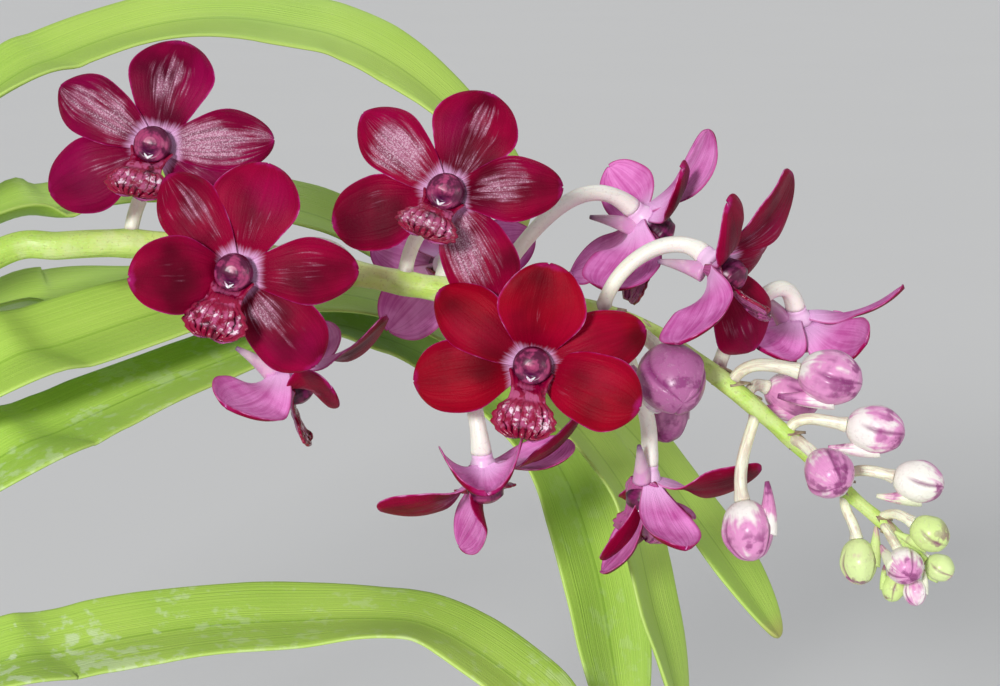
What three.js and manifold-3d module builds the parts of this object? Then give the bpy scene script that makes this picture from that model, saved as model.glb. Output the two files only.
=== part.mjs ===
// An orchid in a vase: a stem with two ranks of strap leaves stands in bark in a plain glazed vase, and one
// arching flower stalk carries open blooms on its first half and buds towards its tip.
// Millimetres, +Z up. The origin is the middle of the vase's foot, and the flower stalk arches towards +X.
import * as THREE from "three";
import { mergeVertices } from "three/addons/utils/BufferGeometryUtils.js";
import Module from "manifold-3d";

const wasm = await Module();
wasm.setup();

// Driving dimensions of the vase and what fills it
const GAP = 0.3; // left between pieces that touch
const VASE_HEIGHT = 150;
const FOOT_RADIUS = 41;
const BELLY_RADIUS = 58;
const BELLY_HEIGHT = 78;
const NECK_RADIUS = 46;
const NECK_HEIGHT = 138;
const RIM_RADIUS = 50;
const WALL = 5;
const FLOOR_THICKNESS = 8;
const VASE_SIDES = 28;
const BARK_TOP = 126;
const CHIP_COUNT = 17;
const CHIP_LENGTH = 17;

// Driving dimensions of the plant
const STEM_RADIUS = 6;
const STEM_FOOT = 92;
const STEM_TOP = 326;
const SHEATH_RADIUS = 7;
const SHEATH_REACH = 13;
const SHEATH_RISE = 19;
const LEAF_WIDTH = 29;
const LEAF_THICKNESS = 1.5;
const LEAF_ROWS = 14;
const LEAF_GAP = 0.6; // left between a blade and its sheath
const ROOT_RADIUS = 2.8;
const STALK_RADIUS = 3.2;
const STALK_TIP_RADIUS = 1.1;
const PEDICEL_RADIUS = 1.75;
const BRACT_RADIUS = 2.6;
const BRACT_LENGTH = 6.5;

// Driving dimensions of a bloom
const SEPAL_LENGTH = 23;
const SEPAL_WIDTH = 18;
const PETAL_LENGTH = 24.5;
const PETAL_WIDTH = 13.5;
const SIDE_SEPAL_WIDTH = 16;
const TEPAL_THICKNESS = 0.8;
const TEPAL_START = 2.3; // from the bloom's axis
const HUB_RADIUS = 3.3;
const HUB_BACK = 2.5;
const COLUMN_RADIUS = 3.9;
const COLUMN_LENGTH = 8.6;
const LIP_LENGTH = 17;
const SPUR_LENGTH = 10.5;

// The front view, which gives the places of what hangs on the flower stalk: a picture 1000 columns wide, with
// the stalk a fixed distance behind it.
const PIXEL = 0.215; // size of one pixel at the stalk
const VIEW_DISTANCE = 640;
const VIEW_TILT = THREE.MathUtils.degToRad(10);
const VIEW_MIDDLE = new THREE.Vector3(162, 0, 290);
const MIDDLE_COLUMN = 500;
const MIDDLE_ROW = 343;
const RIGHT = new THREE.Vector3(1, 0, 0);
const AWAY = new THREE.Vector3(0, Math.cos(VIEW_TILT), -Math.sin(VIEW_TILT));
const UP = new THREE.Vector3(0, Math.sin(VIEW_TILT), Math.cos(VIEW_TILT));

// The point seen at a column and row of the front view, depth millimetres behind the stalk's plane.
function seen([column, row, depth]) {
  const size = (PIXEL * (VIEW_DISTANCE + depth)) / VIEW_DISTANCE;
  return VIEW_MIDDLE.clone()
    .addScaledVector(AWAY, depth)
    .addScaledVector(RIGHT, (column - MIDDLE_COLUMN) * size)
    .addScaledVector(UP, (MIDDLE_ROW - row) * size);
}

// A unit vector from its parts to the right, up and towards the front view.
function facing([right, up, near]) {
  return new THREE.Vector3()
    .addScaledVector(RIGHT, right)
    .addScaledVector(UP, up)
    .addScaledVector(AWAY, -near)
    .normalize();
}

const material = (color, roughness) => new THREE.MeshStandardMaterial({ color, roughness, metalness: 0 });
const GLAZE = material("#e9e6de", 0.25);
const BARK = material("#6b442a", 0.9);
const STEM = material("#8aa24c", 0.6);
const LEAF = material("#8fbf3f", 0.45);
const STALK = material("#b4cc6e", 0.45);
const BLOOM = material("#8e0f34", 0.4);
const BUD = material("#c07aa8", 0.4);

// Solids

// A closed solid from a geometry whose shared corners are merged.
function solidOf(geometry) {
  const plain = geometry.index ? geometry.toNonIndexed() : geometry.clone();
  const bare = new THREE.BufferGeometry().setAttribute("position", plain.getAttribute("position"));
  const merged = mergeVertices(bare, 1e-4);
  return new wasm.Manifold(
    new wasm.Mesh({
      numProp: 3,
      vertProperties: new Float32Array(merged.attributes.position.array),
      triVerts: new Uint32Array(merged.index.array),
    }),
  );
}

// The geometry of a solid's largest body, which drops a scrap that a cut leaves.
function geometryOf(solid) {
  const bodies = solid.decompose().sort((a, b) => b.volume() - a.volume());
  const mesh = bodies[0].getMesh();
  const corners = new Float32Array(mesh.numVert * 3);
  for (let i = 0; i < mesh.numVert; i++) {
    corners.set(mesh.vertProperties.subarray(i * mesh.numProp, i * mesh.numProp + 3), i * 3);
  }
  return new THREE.BufferGeometry()
    .setAttribute("position", new THREE.BufferAttribute(corners, 3))
    .setIndex(new THREE.BufferAttribute(mesh.triVerts, 1));
}

const joined = (solids) => solids.reduce((whole, piece) => whole.add(piece));

// A thin closed sheet round surface(u, v), with u from -1 to 1 across and v from 0 to 1 along.
function sheet(surface, columns, rows, thickness, rowAt = (v) => v) {
  const step = 1e-3;
  const front = [];
  const back = [];
  for (let i = 0; i <= rows; i++) {
    for (let j = 0; j <= columns; j++) {
      const u = -1 + (2 * j) / columns;
      const v = rowAt(i / rows);
      const across = surface(u + step, v).sub(surface(u - step, v));
      const along = surface(u, Math.min(1, v + step)).sub(surface(u, Math.max(0, v - step)));
      const normal = across.cross(along).normalize();
      front.push(surface(u, v).addScaledVector(normal, thickness / 2));
      back.push(surface(u, v).addScaledVector(normal, -thickness / 2));
    }
  }
  const width = columns + 1;
  const faces = [];
  const place = (points, index) => faces.push(points[index].x, points[index].y, points[index].z);
  for (let i = 0; i < rows; i++) {
    for (let j = 0; j < columns; j++) {
      const [a, b, c, d] = [i * width + j, i * width + j + 1, (i + 1) * width + j + 1, (i + 1) * width + j];
      [a, b, c, a, c, d].forEach((index) => place(front, index));
      [a, c, b, a, d, c].forEach((index) => place(back, index));
    }
  }
  const loop = [];
  for (let j = 0; j < columns; j++) loop.push(j);
  for (let i = 0; i < rows; i++) loop.push(i * width + columns);
  for (let j = columns; j > 0; j--) loop.push(rows * width + j);
  for (let i = rows; i > 0; i--) loop.push(i * width);
  loop.forEach((p, k) => {
    const q = loop[(k + 1) % loop.length];
    [[front, q], [front, p], [back, p], [front, q], [back, p], [back, q]].forEach(([points, index]) =>
      place(points, index),
    );
  });
  return new THREE.BufferGeometry().setAttribute("position", new THREE.Float32BufferAttribute(faces, 3));
}

// A closed round tube along a curve, whose radius follows radiusAt(v).
function tube(curve, radiusAt, sides, steps) {
  const frames = curve.computeFrenetFrames(steps);
  const rings = [];
  for (let i = 0; i <= steps; i++) {
    const centre = curve.getPointAt(i / steps);
    const radius = radiusAt(i / steps);
    rings.push(
      Array.from({ length: sides }, (_, k) => {
        const turn = (2 * Math.PI * k) / sides;
        return centre
          .clone()
          .addScaledVector(frames.normals[i], radius * Math.cos(turn))
          .addScaledVector(frames.binormals[i], radius * Math.sin(turn));
      }),
    );
  }
  const faces = [];
  const place = (...corners) => corners.forEach((p) => faces.push(p.x, p.y, p.z));
  for (let i = 0; i < steps; i++) {
    for (let k = 0; k < sides; k++) {
      const next = (k + 1) % sides;
      place(rings[i][k], rings[i][next], rings[i + 1][next]);
      place(rings[i][k], rings[i + 1][next], rings[i + 1][k]);
    }
  }
  for (let k = 1; k < sides - 1; k++) {
    place(rings[0][0], rings[0][k + 1], rings[0][k]);
    place(rings[steps][0], rings[steps][k], rings[steps][k + 1]);
  }
  return new THREE.BufferGeometry().setAttribute("position", new THREE.Float32BufferAttribute(faces, 3));
}

// A solid turned about Z from [radius, height] points that start and end on the axis.
const turned = (profile, sides) =>
  solidOf(
    new THREE.LatheGeometry(
      profile.map(([radius, height]) => new THREE.Vector2(radius, height)),
      sides,
    ).rotateX(Math.PI / 2),
  );

// A smooth curve through points.
const through = (points) => new THREE.CatmullRomCurve3(points, false, "catmullrom", 0.5);

// A cone from a base point along a direction.
function spike(base, direction, radius, length, sides) {
  const up = new THREE.Vector3(0, 1, 0);
  const turn = new THREE.Quaternion().setFromUnitVectors(up, direction.clone().normalize());
  return solidOf(
    new THREE.ConeGeometry(radius, length, sides)
      .translate(0, length / 2, 0)
      .applyQuaternion(turn)
      .translate(base.x, base.y, base.z),
  );
}

// A steady stream of draws from 0 to 1.
function draws(seed) {
  let state = seed;
  return () => {
    state = (state * 1664525 + 1013904223) % 4294967296;
    return state / 4294967296;
  };
}

// Vase and bark

const outerWall = [
  [FOOT_RADIUS - 2, 0],
  [FOOT_RADIUS, 2],
  [50, 30],
  [56, 54],
  [BELLY_RADIUS, BELLY_HEIGHT],
  [56, 102],
  [50.5, 122],
  [NECK_RADIUS, NECK_HEIGHT],
  [47, 144],
  [RIM_RADIUS, VASE_HEIGHT - 1.5],
  [RIM_RADIUS - 1.5, VASE_HEIGHT],
];
const innerWall = [
  [46, 30],
  [53, 66],
  [53, 90],
  [47.5, 120],
  [NECK_RADIUS - WALL, NECK_HEIGHT],
  [RIM_RADIUS - 4, VASE_HEIGHT],
];

function vase() {
  const inside = [[34, FLOOR_THICKNESS], ...innerWall].reverse();
  return turned([[0, 0], ...outerWall, ...inside, [0, FLOOR_THICKNESS]], VASE_SIDES);
}

// The space inside the wall, kept a gap clear of it.
function cavity() {
  const wall = innerWall.map(([radius, height]) => [radius - GAP - 0.2, height]);
  return turned(
    [[0, FLOOR_THICKNESS + GAP], [33, FLOOR_THICKNESS + GAP], ...wall, [0, VASE_HEIGHT]],
    VASE_SIDES / 2,
  );
}

function bark() {
  const draw = draws(7);
  const lump = turned(
    [[0, 0], [70, 0], [70, BARK_TOP - 4], [42, BARK_TOP - 3], [22, BARK_TOP + 1], [0, BARK_TOP + 2]],
    VASE_SIDES / 2,
  );
  const chips = Array.from({ length: CHIP_COUNT }, (_, k) => {
    const distance = 13 + 25 * Math.sqrt((k + 0.5) / CHIP_COUNT);
    const turn = k * 2.4; // near the golden angle, so that the chips cover the top evenly
    const level = BARK_TOP - 0.06 * distance;
    return solidOf(
      new THREE.BoxGeometry(CHIP_LENGTH * (0.7 + 0.5 * draw()), 10 + 4 * draw(), 8)
        .rotateX(0.6 * (draw() - 0.5))
        .rotateY(0.7 * (draw() - 0.5))
        .rotateZ(2 * Math.PI * draw())
        .translate(distance * Math.cos(turn), distance * Math.sin(turn), level + 2 * draw()),
    );
  });
  return joined([lump, ...chips])
    .intersect(cavity())
    .subtract(stemAndRoots(GAP));
}

// Stem, sheaths and roots

// The height at which each leaf leaves the stem, on the side towards the flowers and on the other side.
const FLOWER_SIDE = { leaf_r1: 312, leaf_r2: 293, leaf_r3: 275, leaf_r4: 257, leaf_r5: 234, leaf_r6: 200 };
const FAR_SIDE = { leaf_l1: 303, leaf_l2: 284, leaf_l3: 266, leaf_l4: 246, leaf_l5: 217, leaf_l6: 184 };

// Where a sheath ends and its blade begins, and the way that the blade starts out.
function leafSeat(height, side) {
  const out = new THREE.Vector3(side * Math.SQRT1_2, 0, Math.SQRT1_2);
  return { end: new THREE.Vector3(side * SHEATH_REACH, 0, height), out };
}

function sheath(height, side, grow) {
  const { end, out } = leafSeat(height, side);
  const path = new THREE.QuadraticBezierCurve3(
    new THREE.Vector3(0, 0, height - SHEATH_RISE - 6),
    end.clone().addScaledVector(out, -8),
    end,
  );
  return solidOf(tube(path, (v) => SHEATH_RADIUS - 1.4 * v + grow, 6, 2));
}

const ROOTS = [
  { turn: 0.5, height: 158, reach: 24, fall: 60 },
  { turn: 1.7, height: 150, reach: 27, fall: 52 },
  { turn: 4.1, height: 148, reach: 28, fall: 50 },
  { turn: 5.3, height: 154, reach: 26, fall: 56 },
];
const OVER_RIM_ROOTS = [
  { turn: 5.0, height: 165, rise: 8, hang: 76 },
  { turn: 3.7, height: 161, rise: 7, hang: 98 },
];

function rootPath({ turn, height, reach, fall }) {
  const at = (distance, level, twist) =>
    new THREE.Vector3(distance * Math.cos(turn + twist), distance * Math.sin(turn + twist), level);
  return through([
    at(1, height, 0),
    at(reach * 0.55, height + 3, 0.1),
    at(reach, height - 0.35 * fall, 0.25),
    at(reach * 0.98, height - fall, 0.35),
  ]);
}

function overRimPath({ turn, height, rise, hang }) {
  const at = (distance, level, twist) =>
    new THREE.Vector3(distance * Math.cos(turn + twist), distance * Math.sin(turn + twist), level);
  return through([
    at(1, height, 0),
    at(22, height + rise, 0.05),
    at(44, height + rise * 0.3, 0.12),
    at(RIM_RADIUS + 10, height - 18, 0.2),
    at(BELLY_RADIUS + 9, height - 0.6 * hang, 0.22),
    at(BELLY_RADIUS + 7, height - hang, 0.3),
  ]);
}

// The stem with its sheaths and roots, grown by a clearance where it makes the holes in the bark.
function stemAndRoots(grow) {
  const axis = new THREE.LineCurve3(
    new THREE.Vector3(0, 0, STEM_FOOT - grow),
    new THREE.Vector3(0, 0, STEM_TOP - 20),
  );
  const pieces = [solidOf(tube(axis, () => STEM_RADIUS + grow, 9, 1))];
  for (const height of Object.values(FLOWER_SIDE)) pieces.push(sheath(height, 1, grow));
  for (const height of Object.values(FAR_SIDE)) pieces.push(sheath(height, -1, grow));
  pieces.push(crownSheath(grow));
  const thin = (v) => (ROOT_RADIUS + grow) * (v > 0.9 ? 0.8 : 1);
  for (const root of ROOTS) pieces.push(solidOf(tube(rootPath(root), thin, 5, 5)));
  for (const root of OVER_RIM_ROOTS) pieces.push(solidOf(tube(overRimPath(root), thin, 5, 8)));
  return joined(pieces);
}

// The sheath at the top, which the youngest leaf comes out of.
function crownSheath(grow) {
  const top = new THREE.Vector3(-3, 0, STEM_TOP);
  const path = new THREE.LineCurve3(new THREE.Vector3(0, 0, STEM_TOP - 30), top);
  return solidOf(tube(path, (v) => 6.4 - 1.4 * v + grow, 7, 1));
}

// Leaves

// The blades on the flower side, by what the front view shows of each: the column, row and depth of points
// along its midrib, and how many pixels wide the blade looks there.
const SEEN_LEAVES = {
  leaf_r1: [[0, 82, 11, 73], [60, 54, 19, 70], [120, 32, 26, 68], [180, 19, 32, 67], [240, 17, 38, 66],
    [300, 26, 43, 66], [340, 36, 46, 65], [385, 57, 49, 60], [430, 89, 51, 50], [475, 134, 51, 44],
    [508, 185, 50, 36], [520, 232, 49, 30]],
  leaf_r2: [[0, 212, 20, 50], [60, 204, 29, 52], [130, 191, 39, 53], [200, 188, 48, 54], [300, 209, 60, 52],
    [350, 228, 68, 50], [400, 255, 76, 48], [450, 290, 81, 45], [520, 340, 83, 42], [590, 390, 84, 42],
    [640, 440, 83, 43], [669, 476, 81, 44], [696, 514, 78, 45], [736, 571, 74, 46], [779, 638, 70, 42]],
  leaf_r3: [[0, 306, 37, 56], [60, 297, 44, 54], [140, 291, 53, 52], [220, 286, 63, 50], [290, 288, 73, 46],
    [350, 300, 81, 42], [404, 324, 86, 38]],
  leaf_r4: [[0, 360, 4, 92], [60, 342, 13, 88], [140, 316, 23, 84], [200, 300, 31, 78], [260, 290, 38, 66],
    [320, 290, 44, 52], [380, 300, 50, 46], [440, 322, 52, 44], [510, 364, 52, 44], [565, 412, 51, 44],
    [603, 456, 49, 43], [630, 500, 47, 42], [644, 560, 45, 42], [655, 610, 43, 42], [666, 650, 42, 40],
    [682, 720, 40, 38]],
  leaf_r5: [[0, 454, 6, 88], [60, 428, 15, 84], [100, 409, 21, 80], [150, 387, 28, 72], [200, 367, 35, 64],
    [260, 344, 43, 54], [325, 323, 50, 46], [380, 335, 55, 42], [430, 356, 59, 44], [485, 388, 61, 50],
    [530, 426, 62, 60], [560, 466, 62, 70], [580, 510, 61, 78], [600, 580, 59, 80], [611, 640, 58, 78],
    [620, 700, 57, 74], [628, 745, 56, 68]],
  leaf_r6: [[0, 659, 6, 68], [60, 650, 11, 70], [100, 641, 14, 69], [150, 632, 18, 67], [200, 625, 21, 65],
    [250, 621, 23, 61], [300, 619, 25, 54], [340, 617, 26, 48], [380, 617, 26, 43], [415, 620, 26, 40],
    [445, 631, 26, 44], [470, 645, 25, 50], [505, 669, 24, 56], [545, 702, 23, 60], [588, 750, 22, 56]],
};

// The blades on the far side, as arcs: the slope at which each starts and ends, in degrees above level, its
// length, and the turn of its plane about the stem.
const ARCHING_LEAVES = {
  leaf_l1: { start: 58, end: -38, length: 250, turn: 176, roll: 24 },
  leaf_l2: { start: 50, end: -62, length: 290, turn: 187, roll: -20 },
  leaf_l3: { start: 46, end: -75, length: 285, turn: 171, roll: 26 },
  leaf_l4: { start: 42, end: -66, length: 260, turn: 188, roll: -22 },
  leaf_l5: { start: 38, end: -62, length: 225, turn: 170, roll: 20 },
  leaf_l6: { start: 34, end: -52, length: 175, turn: 190, roll: -15 },
};

// The curve of a seen blade's midrib, and the way that its upper face looks: rolled towards the view by as
// much as makes the blade look as wide as it should.
function seenLeafFrame(height, stations) {
  const { end, out } = leafSeat(height, 1);
  const seat = [end.clone().addScaledVector(out, LEAF_GAP), end.clone().addScaledVector(out, 12)];
  const curve = through([...seat, ...stations.map(seen)]);
  const look = (v) => {
    const place = curve.getUtoTmapping(v) * (stations.length + 1) - 2;
    const at = THREE.MathUtils.clamp(Math.floor(place), 0, stations.length - 2);
    const share = THREE.MathUtils.clamp(place - at, 0, 1);
    const between = (k) => THREE.MathUtils.lerp(stations[at][k], stations[at + 1][k], share);
    const [width, depth] = [between(3), between(2)];
    const size = (width * PIXEL * (VIEW_DISTANCE + depth)) / VIEW_DISTANCE;
    const whole = 2 * strapWidth(Math.min(v, 0.9), LEAF_WIDTH) * Math.cos(foldAt(v));
    const roll = Math.asin(Math.min(0.97, size / whole));
    const along = curve.getTangentAt(v);
    const above = facing([-along.dot(UP), along.dot(RIGHT), 0]);
    const rolled = above.multiplyScalar(Math.cos(roll)).addScaledVector(AWAY, -Math.sin(roll));
    const start = new THREE.Vector3(-Math.SQRT1_2, 0, Math.SQRT1_2);
    return start.lerp(rolled, THREE.MathUtils.smoothstep(place, -2, 0.5));
  };
  return { curve, look };
}

function archingLeafFrame(height, { start, end, length, turn, roll }) {
  const steps = 14;
  const heading = THREE.MathUtils.degToRad(turn);
  const seat = leafSeat(height, -1);
  const point = seat.end.clone().addScaledVector(seat.out, 9);
  const points = [seat.end.clone().addScaledVector(seat.out, LEAF_GAP), point.clone()];
  for (let i = 0; i < steps; i++) {
    const share = (i + 0.5) / steps;
    const slope = THREE.MathUtils.degToRad(start + (end - start) * share ** 1.25);
    const turned = Math.PI + (heading - Math.PI) * Math.min(1, share * 3);
    const level = Math.cos(slope);
    const way = new THREE.Vector3(level * Math.cos(turned), level * Math.sin(turned), Math.sin(slope));
    point.addScaledVector(way, length / steps);
    points.push(point.clone());
  }
  const side = new THREE.Vector3(-Math.sin(heading), Math.cos(heading), 0);
  const lean = Math.tan(THREE.MathUtils.degToRad(roll));
  const look = (v) =>
    new THREE.Vector3(0.6 * (1 - v), 0, 1).addScaledVector(side, lean * Math.min(1, v * 3));
  return { curve: through(points), look };
}

// The half width of a strap leaf: narrow where it leaves its sheath, then even, then rounded off at the tip.
function strapWidth(v, width) {
  const start = 0.5 + 0.5 * Math.sin((Math.PI / 2) * Math.min(1, v / 0.26));
  const taper = 1 - 0.14 * v;
  const tip = v > 0.9 ? Math.sqrt(1 - ((v - 0.9) / 0.104) ** 2) : 1;
  return (width / 2) * start * taper * tip;
}

// How far the halves of a blade fold up from the midrib, in radians.
const foldAt = (v) => 0.5 * Math.exp(-v * 9) + 0.2;

function leaf({ curve, look }, width) {
  const surface = (u, v) => {
    const along = curve.getTangentAt(v);
    const up = look(v);
    up.addScaledVector(along, -up.dot(along)).normalize();
    const across = new THREE.Vector3().crossVectors(along, up);
    const reach = strapWidth(v, width);
    const fold = foldAt(v);
    return curve
      .getPointAt(v)
      .addScaledVector(across, u * reach * Math.cos(fold))
      .addScaledVector(up, (Math.abs(u) - 0.5) * reach * Math.sin(fold));
  };
  const rowAt = (v) => (v < 0.88 ? v : 0.88 + 0.12 * Math.sin(((v - 0.88) / 0.12) * (Math.PI / 2)));
  return solidOf(sheet(surface, 2, LEAF_ROWS, LEAF_THICKNESS, rowAt));
}

// The youngest leaf stands almost upright and is still folded.
function crownLeafFrame() {
  const foot = new THREE.Vector3(-3, 0, STEM_TOP + LEAF_GAP);
  return {
    curve: through([
      foot,
      new THREE.Vector3(-5, 2, 352),
      new THREE.Vector3(-13, 5, 384),
      new THREE.Vector3(-32, 9, 416),
    ]),
    look: () => new THREE.Vector3(1, -0.45, 0.3),
  };
}

// Flower stalk

const STALK_START = new THREE.Vector3(2, -5, 244);
const STALK_SEEN = [
  [0, 253, -4], [60, 246, -3], [120, 243, -1], [180, 246, 1], [240, 253, 2], [300, 263, 2], [365, 275, 2],
  [433, 288, 2], [500, 297, 2], [560, 304, 1], [600, 313, 0], [650, 333, 0], [690, 357, 0], [732, 388, -1],
  [789, 437, -2], [843, 489, -3], [890, 529, -4], [924, 562, -5],
];
const stalkCurve = through([
  STALK_START,
  new THREE.Vector3(12, -16, 268),
  new THREE.Vector3(30, -13, 294),
  ...STALK_SEEN.map(seen),
]);

// Open blooms: the middle of each, the way that it faces and the way that its top points. Then each tepal,
// in the order top sepal, side sepals, petals, as degrees clockwise from the top, degrees folded forward,
// degrees of twist, how many times as long and as broad it is as its kind, and its own bowl where it differs.
// Then how far the lip hangs, in degrees, and the point of the stalk that the pedicel leaves, with the way it
// starts.
const BLOOMS = {
  bloom_1: { at: [157, 148, -13], faces: [-0.06, 0.05, 1], top: [0.22, 0.97, 0], lip: 34,
    tepals: [[0, 2], [-125, 2], [113, 4], [-70, 2], [73, 2]], from: [131, 243, -1], leaves: [-0.1, 1, -0.3] },
  bloom_2: { at: [238, 273, -31], faces: [-0.08, -0.02, 1], top: [0.27, 0.96, 0], lip: 41,
    tepals: [[0, 2], [-108, 42], [124, 4], [-52, 4], [73, 2]], from: [352, 272, 2], leaves: [-0.4, 1, -0.4] },
  bloom_3: { at: [447, 195, -20], faces: [-0.04, 0.06, 1], top: [0.4, 0.92, 0], lip: 30,
    tepals: [[0, 2], [-128, 2], [130, 3], [-69, 2], [64, 16]], from: [405, 283, 2], leaves: [0, 1, 0] },
  bloom_4: { at: [532, 365, -23], faces: [0, -0.03, 1], top: [0.16, 0.99, 0], lip: 46,
    tepals: [[0, 28], [-107, 4], [102, 22], [-61, 4], [63, 4]],
    from: [556, 303, 1], leaves: [-0.4, -0.8, -0.6] },
  bloom_5: { at: [641, 216, 18], faces: [0.7, -0.6, -0.35], top: [0.64, 0.77, 0], lip: 52,
    tepals: [[0, 3, 0, 1.05], [-138, 0, 45], [140, 10], [-52, -12, 0, 0.85], [75, -15, 0, 0.8]],
    from: [487, 296, 2], leaves: [0.5, 0.8, -0.3] },
  bloom_6: { at: [712, 261, -6], faces: [0.66, -0.62, 0.42], top: [0.74, 0.67, 0], lip: -6,
    tepals: [[0, 2, 0, 1.1], [-150, 34, 50], [107, 36], [-66, 10, -25, 0.9], [56, -4]],
    from: [602, 314, 0], leaves: [0.1, 1, 0.5] },
  bloom_7: { at: [798, 317, 26], faces: [0.24, -0.84, -0.48], top: [0.99, 0.12, 0], lip: 6,
    tepals: [[0, 2, 28, 1.05, 0.8], [-122, -8, 35, 0.82, 0.9], [122, 30], [-60, 0, -35], [66, 35]],
    from: [716, 376, 0], leaves: [0.2, 0.7, -0.9] },
  bloom_8: { at: [483, 464, -8], faces: [0.1, -0.94, -0.3], top: [0.05, -0.3, 1], lip: 50,
    tepals: [[0, 3, 0, 0.85, 1, -9], [-140, 68, 66, 0.97, 1], [130, 10], [-95, 24, -40],
      [90, -15, 25, 0.9]],
    from: [454, 292, 2], leaves: [0, -1, -0.4] },
  bloom_9: { at: [647, 474, 6], faces: [-0.1, -0.92, -0.32], top: [0.36, 0, -0.93], lip: -20,
    tepals: [[0, 40], [-136, 22, 0, 1, 0.76, -2.2], [119, 78], [-70, -6, 45], [70, 75]],
    from: [622, 322, 0], leaves: [0.1, -1, -0.2] },
  bloom_10: { at: [286, 368, 0], faces: [0.37, -0.83, -0.42], top: [0.9, 0.42, 0], lip: 0,
    tepals: [[0, 2, 32, 1.05], [-124, -10, 45], [120, 35], [-66, 6, 75, 0.8], [66, 12]],
    from: [236, 253, 2], leaves: [0, -1, -0.5] },
  bloom_11: { at: [447, 264, 18], faces: [-0.05, -0.12, -0.98], top: [0, 1, 0], lip: 0,
    tepals: [[0, 45], [-132, 48], [135, 48], [-67, 34], [68, 50]],
    from: [440, 289, 2], leaves: [0, 0.3, -1] },
};

// Buds: the middle of each, the way that its tip points, the side that its spur is on, its length and width,
// and the point of the stalk that its pedicel leaves, with the way it starts.
const BUDS = {
  bud_1: { at: [672, 379, -16], tip: [0.25, -0.62, 0.74], spur: [-0.6, -0.7, -0.3], length: 16, width: 14.5,
    from: [640, 328, 0], leaves: [0.3, -0.6, 0.7] },
  bud_2: { at: [664, 412, 10], tip: [0.12, -0.98, 0.1], spur: [0.9, 0, -0.4], length: 13.5, width: 10.5,
    from: [660, 339, 0], leaves: [-0.2, -0.8, -0.6] },
  bud_3: { at: [831, 378, -8], tip: [0.96, -0.22, 0.15], spur: [-0.1, -1, 0], length: 13.5, width: 11.8,
    from: [730, 386, -1], leaves: [0.4, 0.9, 0.1] },
  bud_4: { at: [793, 396, 9], tip: [0.9, -0.3, -0.3], spur: [0, -1, 0.2], length: 12.5, width: 10,
    from: [745, 399, -1], leaves: [0.5, 0.6, -0.6] },
  bud_5: { at: [876, 430, -5], tip: [0.97, -0.18, 0.15], spur: [-0.1, -1, 0], length: 12.4, width: 10.4,
    from: [787, 436, -2], leaves: [0.2, 0.97, 0] },
  bud_6: { at: [829, 473, -16], tip: [0.3, -0.45, 0.84], spur: [0.5, -0.7, -0.4], length: 11.5, width: 10.4,
    from: [793, 441, -2], leaves: [0.1, 0.2, 1] },
  bud_7: { at: [919, 482, -5], tip: [0.96, -0.22, 0.12], spur: [-0.1, -1, 0], length: 10.8, width: 9.2,
    from: [838, 484, -3], leaves: [0.5, 0.85, 0] },
  bud_8: { at: [748, 531, -4], tip: [0.16, -0.97, 0.18], spur: [1, 0.1, 0.1], length: 13, width: 11,
    from: [757, 411, -1], leaves: [-0.3, -1, 0.1] },
  bud_9: { at: [859, 562, -4], tip: [0.08, -0.98, 0.14], spur: [1, 0, 0.1], length: 9.8, width: 8,
    from: [846, 492, -3], leaves: [-0.3, -1, 0] },
  bud_10: { at: [930, 534, -10], tip: [0.82, -0.55, 0.15], spur: [-0.5, -0.8, -0.3], length: 8.6, width: 7.4,
    from: [877, 519, -4], leaves: [0.7, 0.4, 0] },
  bud_11: { at: [905, 566, -10], tip: [0.1, -0.5, 0.86], spur: [-0.9, 0.2, 0.2], length: 8.4, width: 7.8,
    from: [884, 525, -4], leaves: [0.1, -0.3, 1] },
  bud_12: { at: [940, 568, -4], tip: [0.75, -0.5, 0.4], spur: [0, -1, 0], length: 6.4, width: 5.8,
    from: [905, 542, -4], leaves: [0.7, 0.4, 0.2] },
  bud_13: { at: [893, 588, -4], tip: [-0.2, -0.97, 0.15], spur: [-1, 0, 0], length: 6, width: 5,
    from: [908, 546, -4], leaves: [-0.6, -0.8, -0.2] },
  bud_14: { at: [915, 592, -6], tip: [0.1, -0.95, 0.3], spur: [1, 0, 0], length: 6, width: 5,
    from: [917, 554, -5], leaves: [0, -1, 0] },
};
const HORN_LENGTH = 0.72; // of the bud's own length
const HORN_RADIUS = 0.44; // of the bud's own radius

function pedicel(from, leaves, end, way, radius, sides, steps) {
  const start = seen(from);
  const reach = 0.42 * start.distanceTo(end);
  const path = new THREE.CubicBezierCurve3(
    start,
    start.clone().addScaledVector(facing(leaves), reach),
    end.clone().addScaledVector(way, -reach),
    end,
  );
  return solidOf(tube(path, (v) => radius * (v < 0.12 ? 1.25 : 0.86 + 0.2 * v), sides, steps));
}

// The small scale under a pedicel's foot, which points along the stalk.
function bract(from, leaves) {
  const foot = seen(from);
  const ahead = facing([0.8, -0.35, 0]).add(facing(leaves).multiplyScalar(0.75));
  return spike(foot, ahead, BRACT_RADIUS, BRACT_LENGTH, 4);
}

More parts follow.
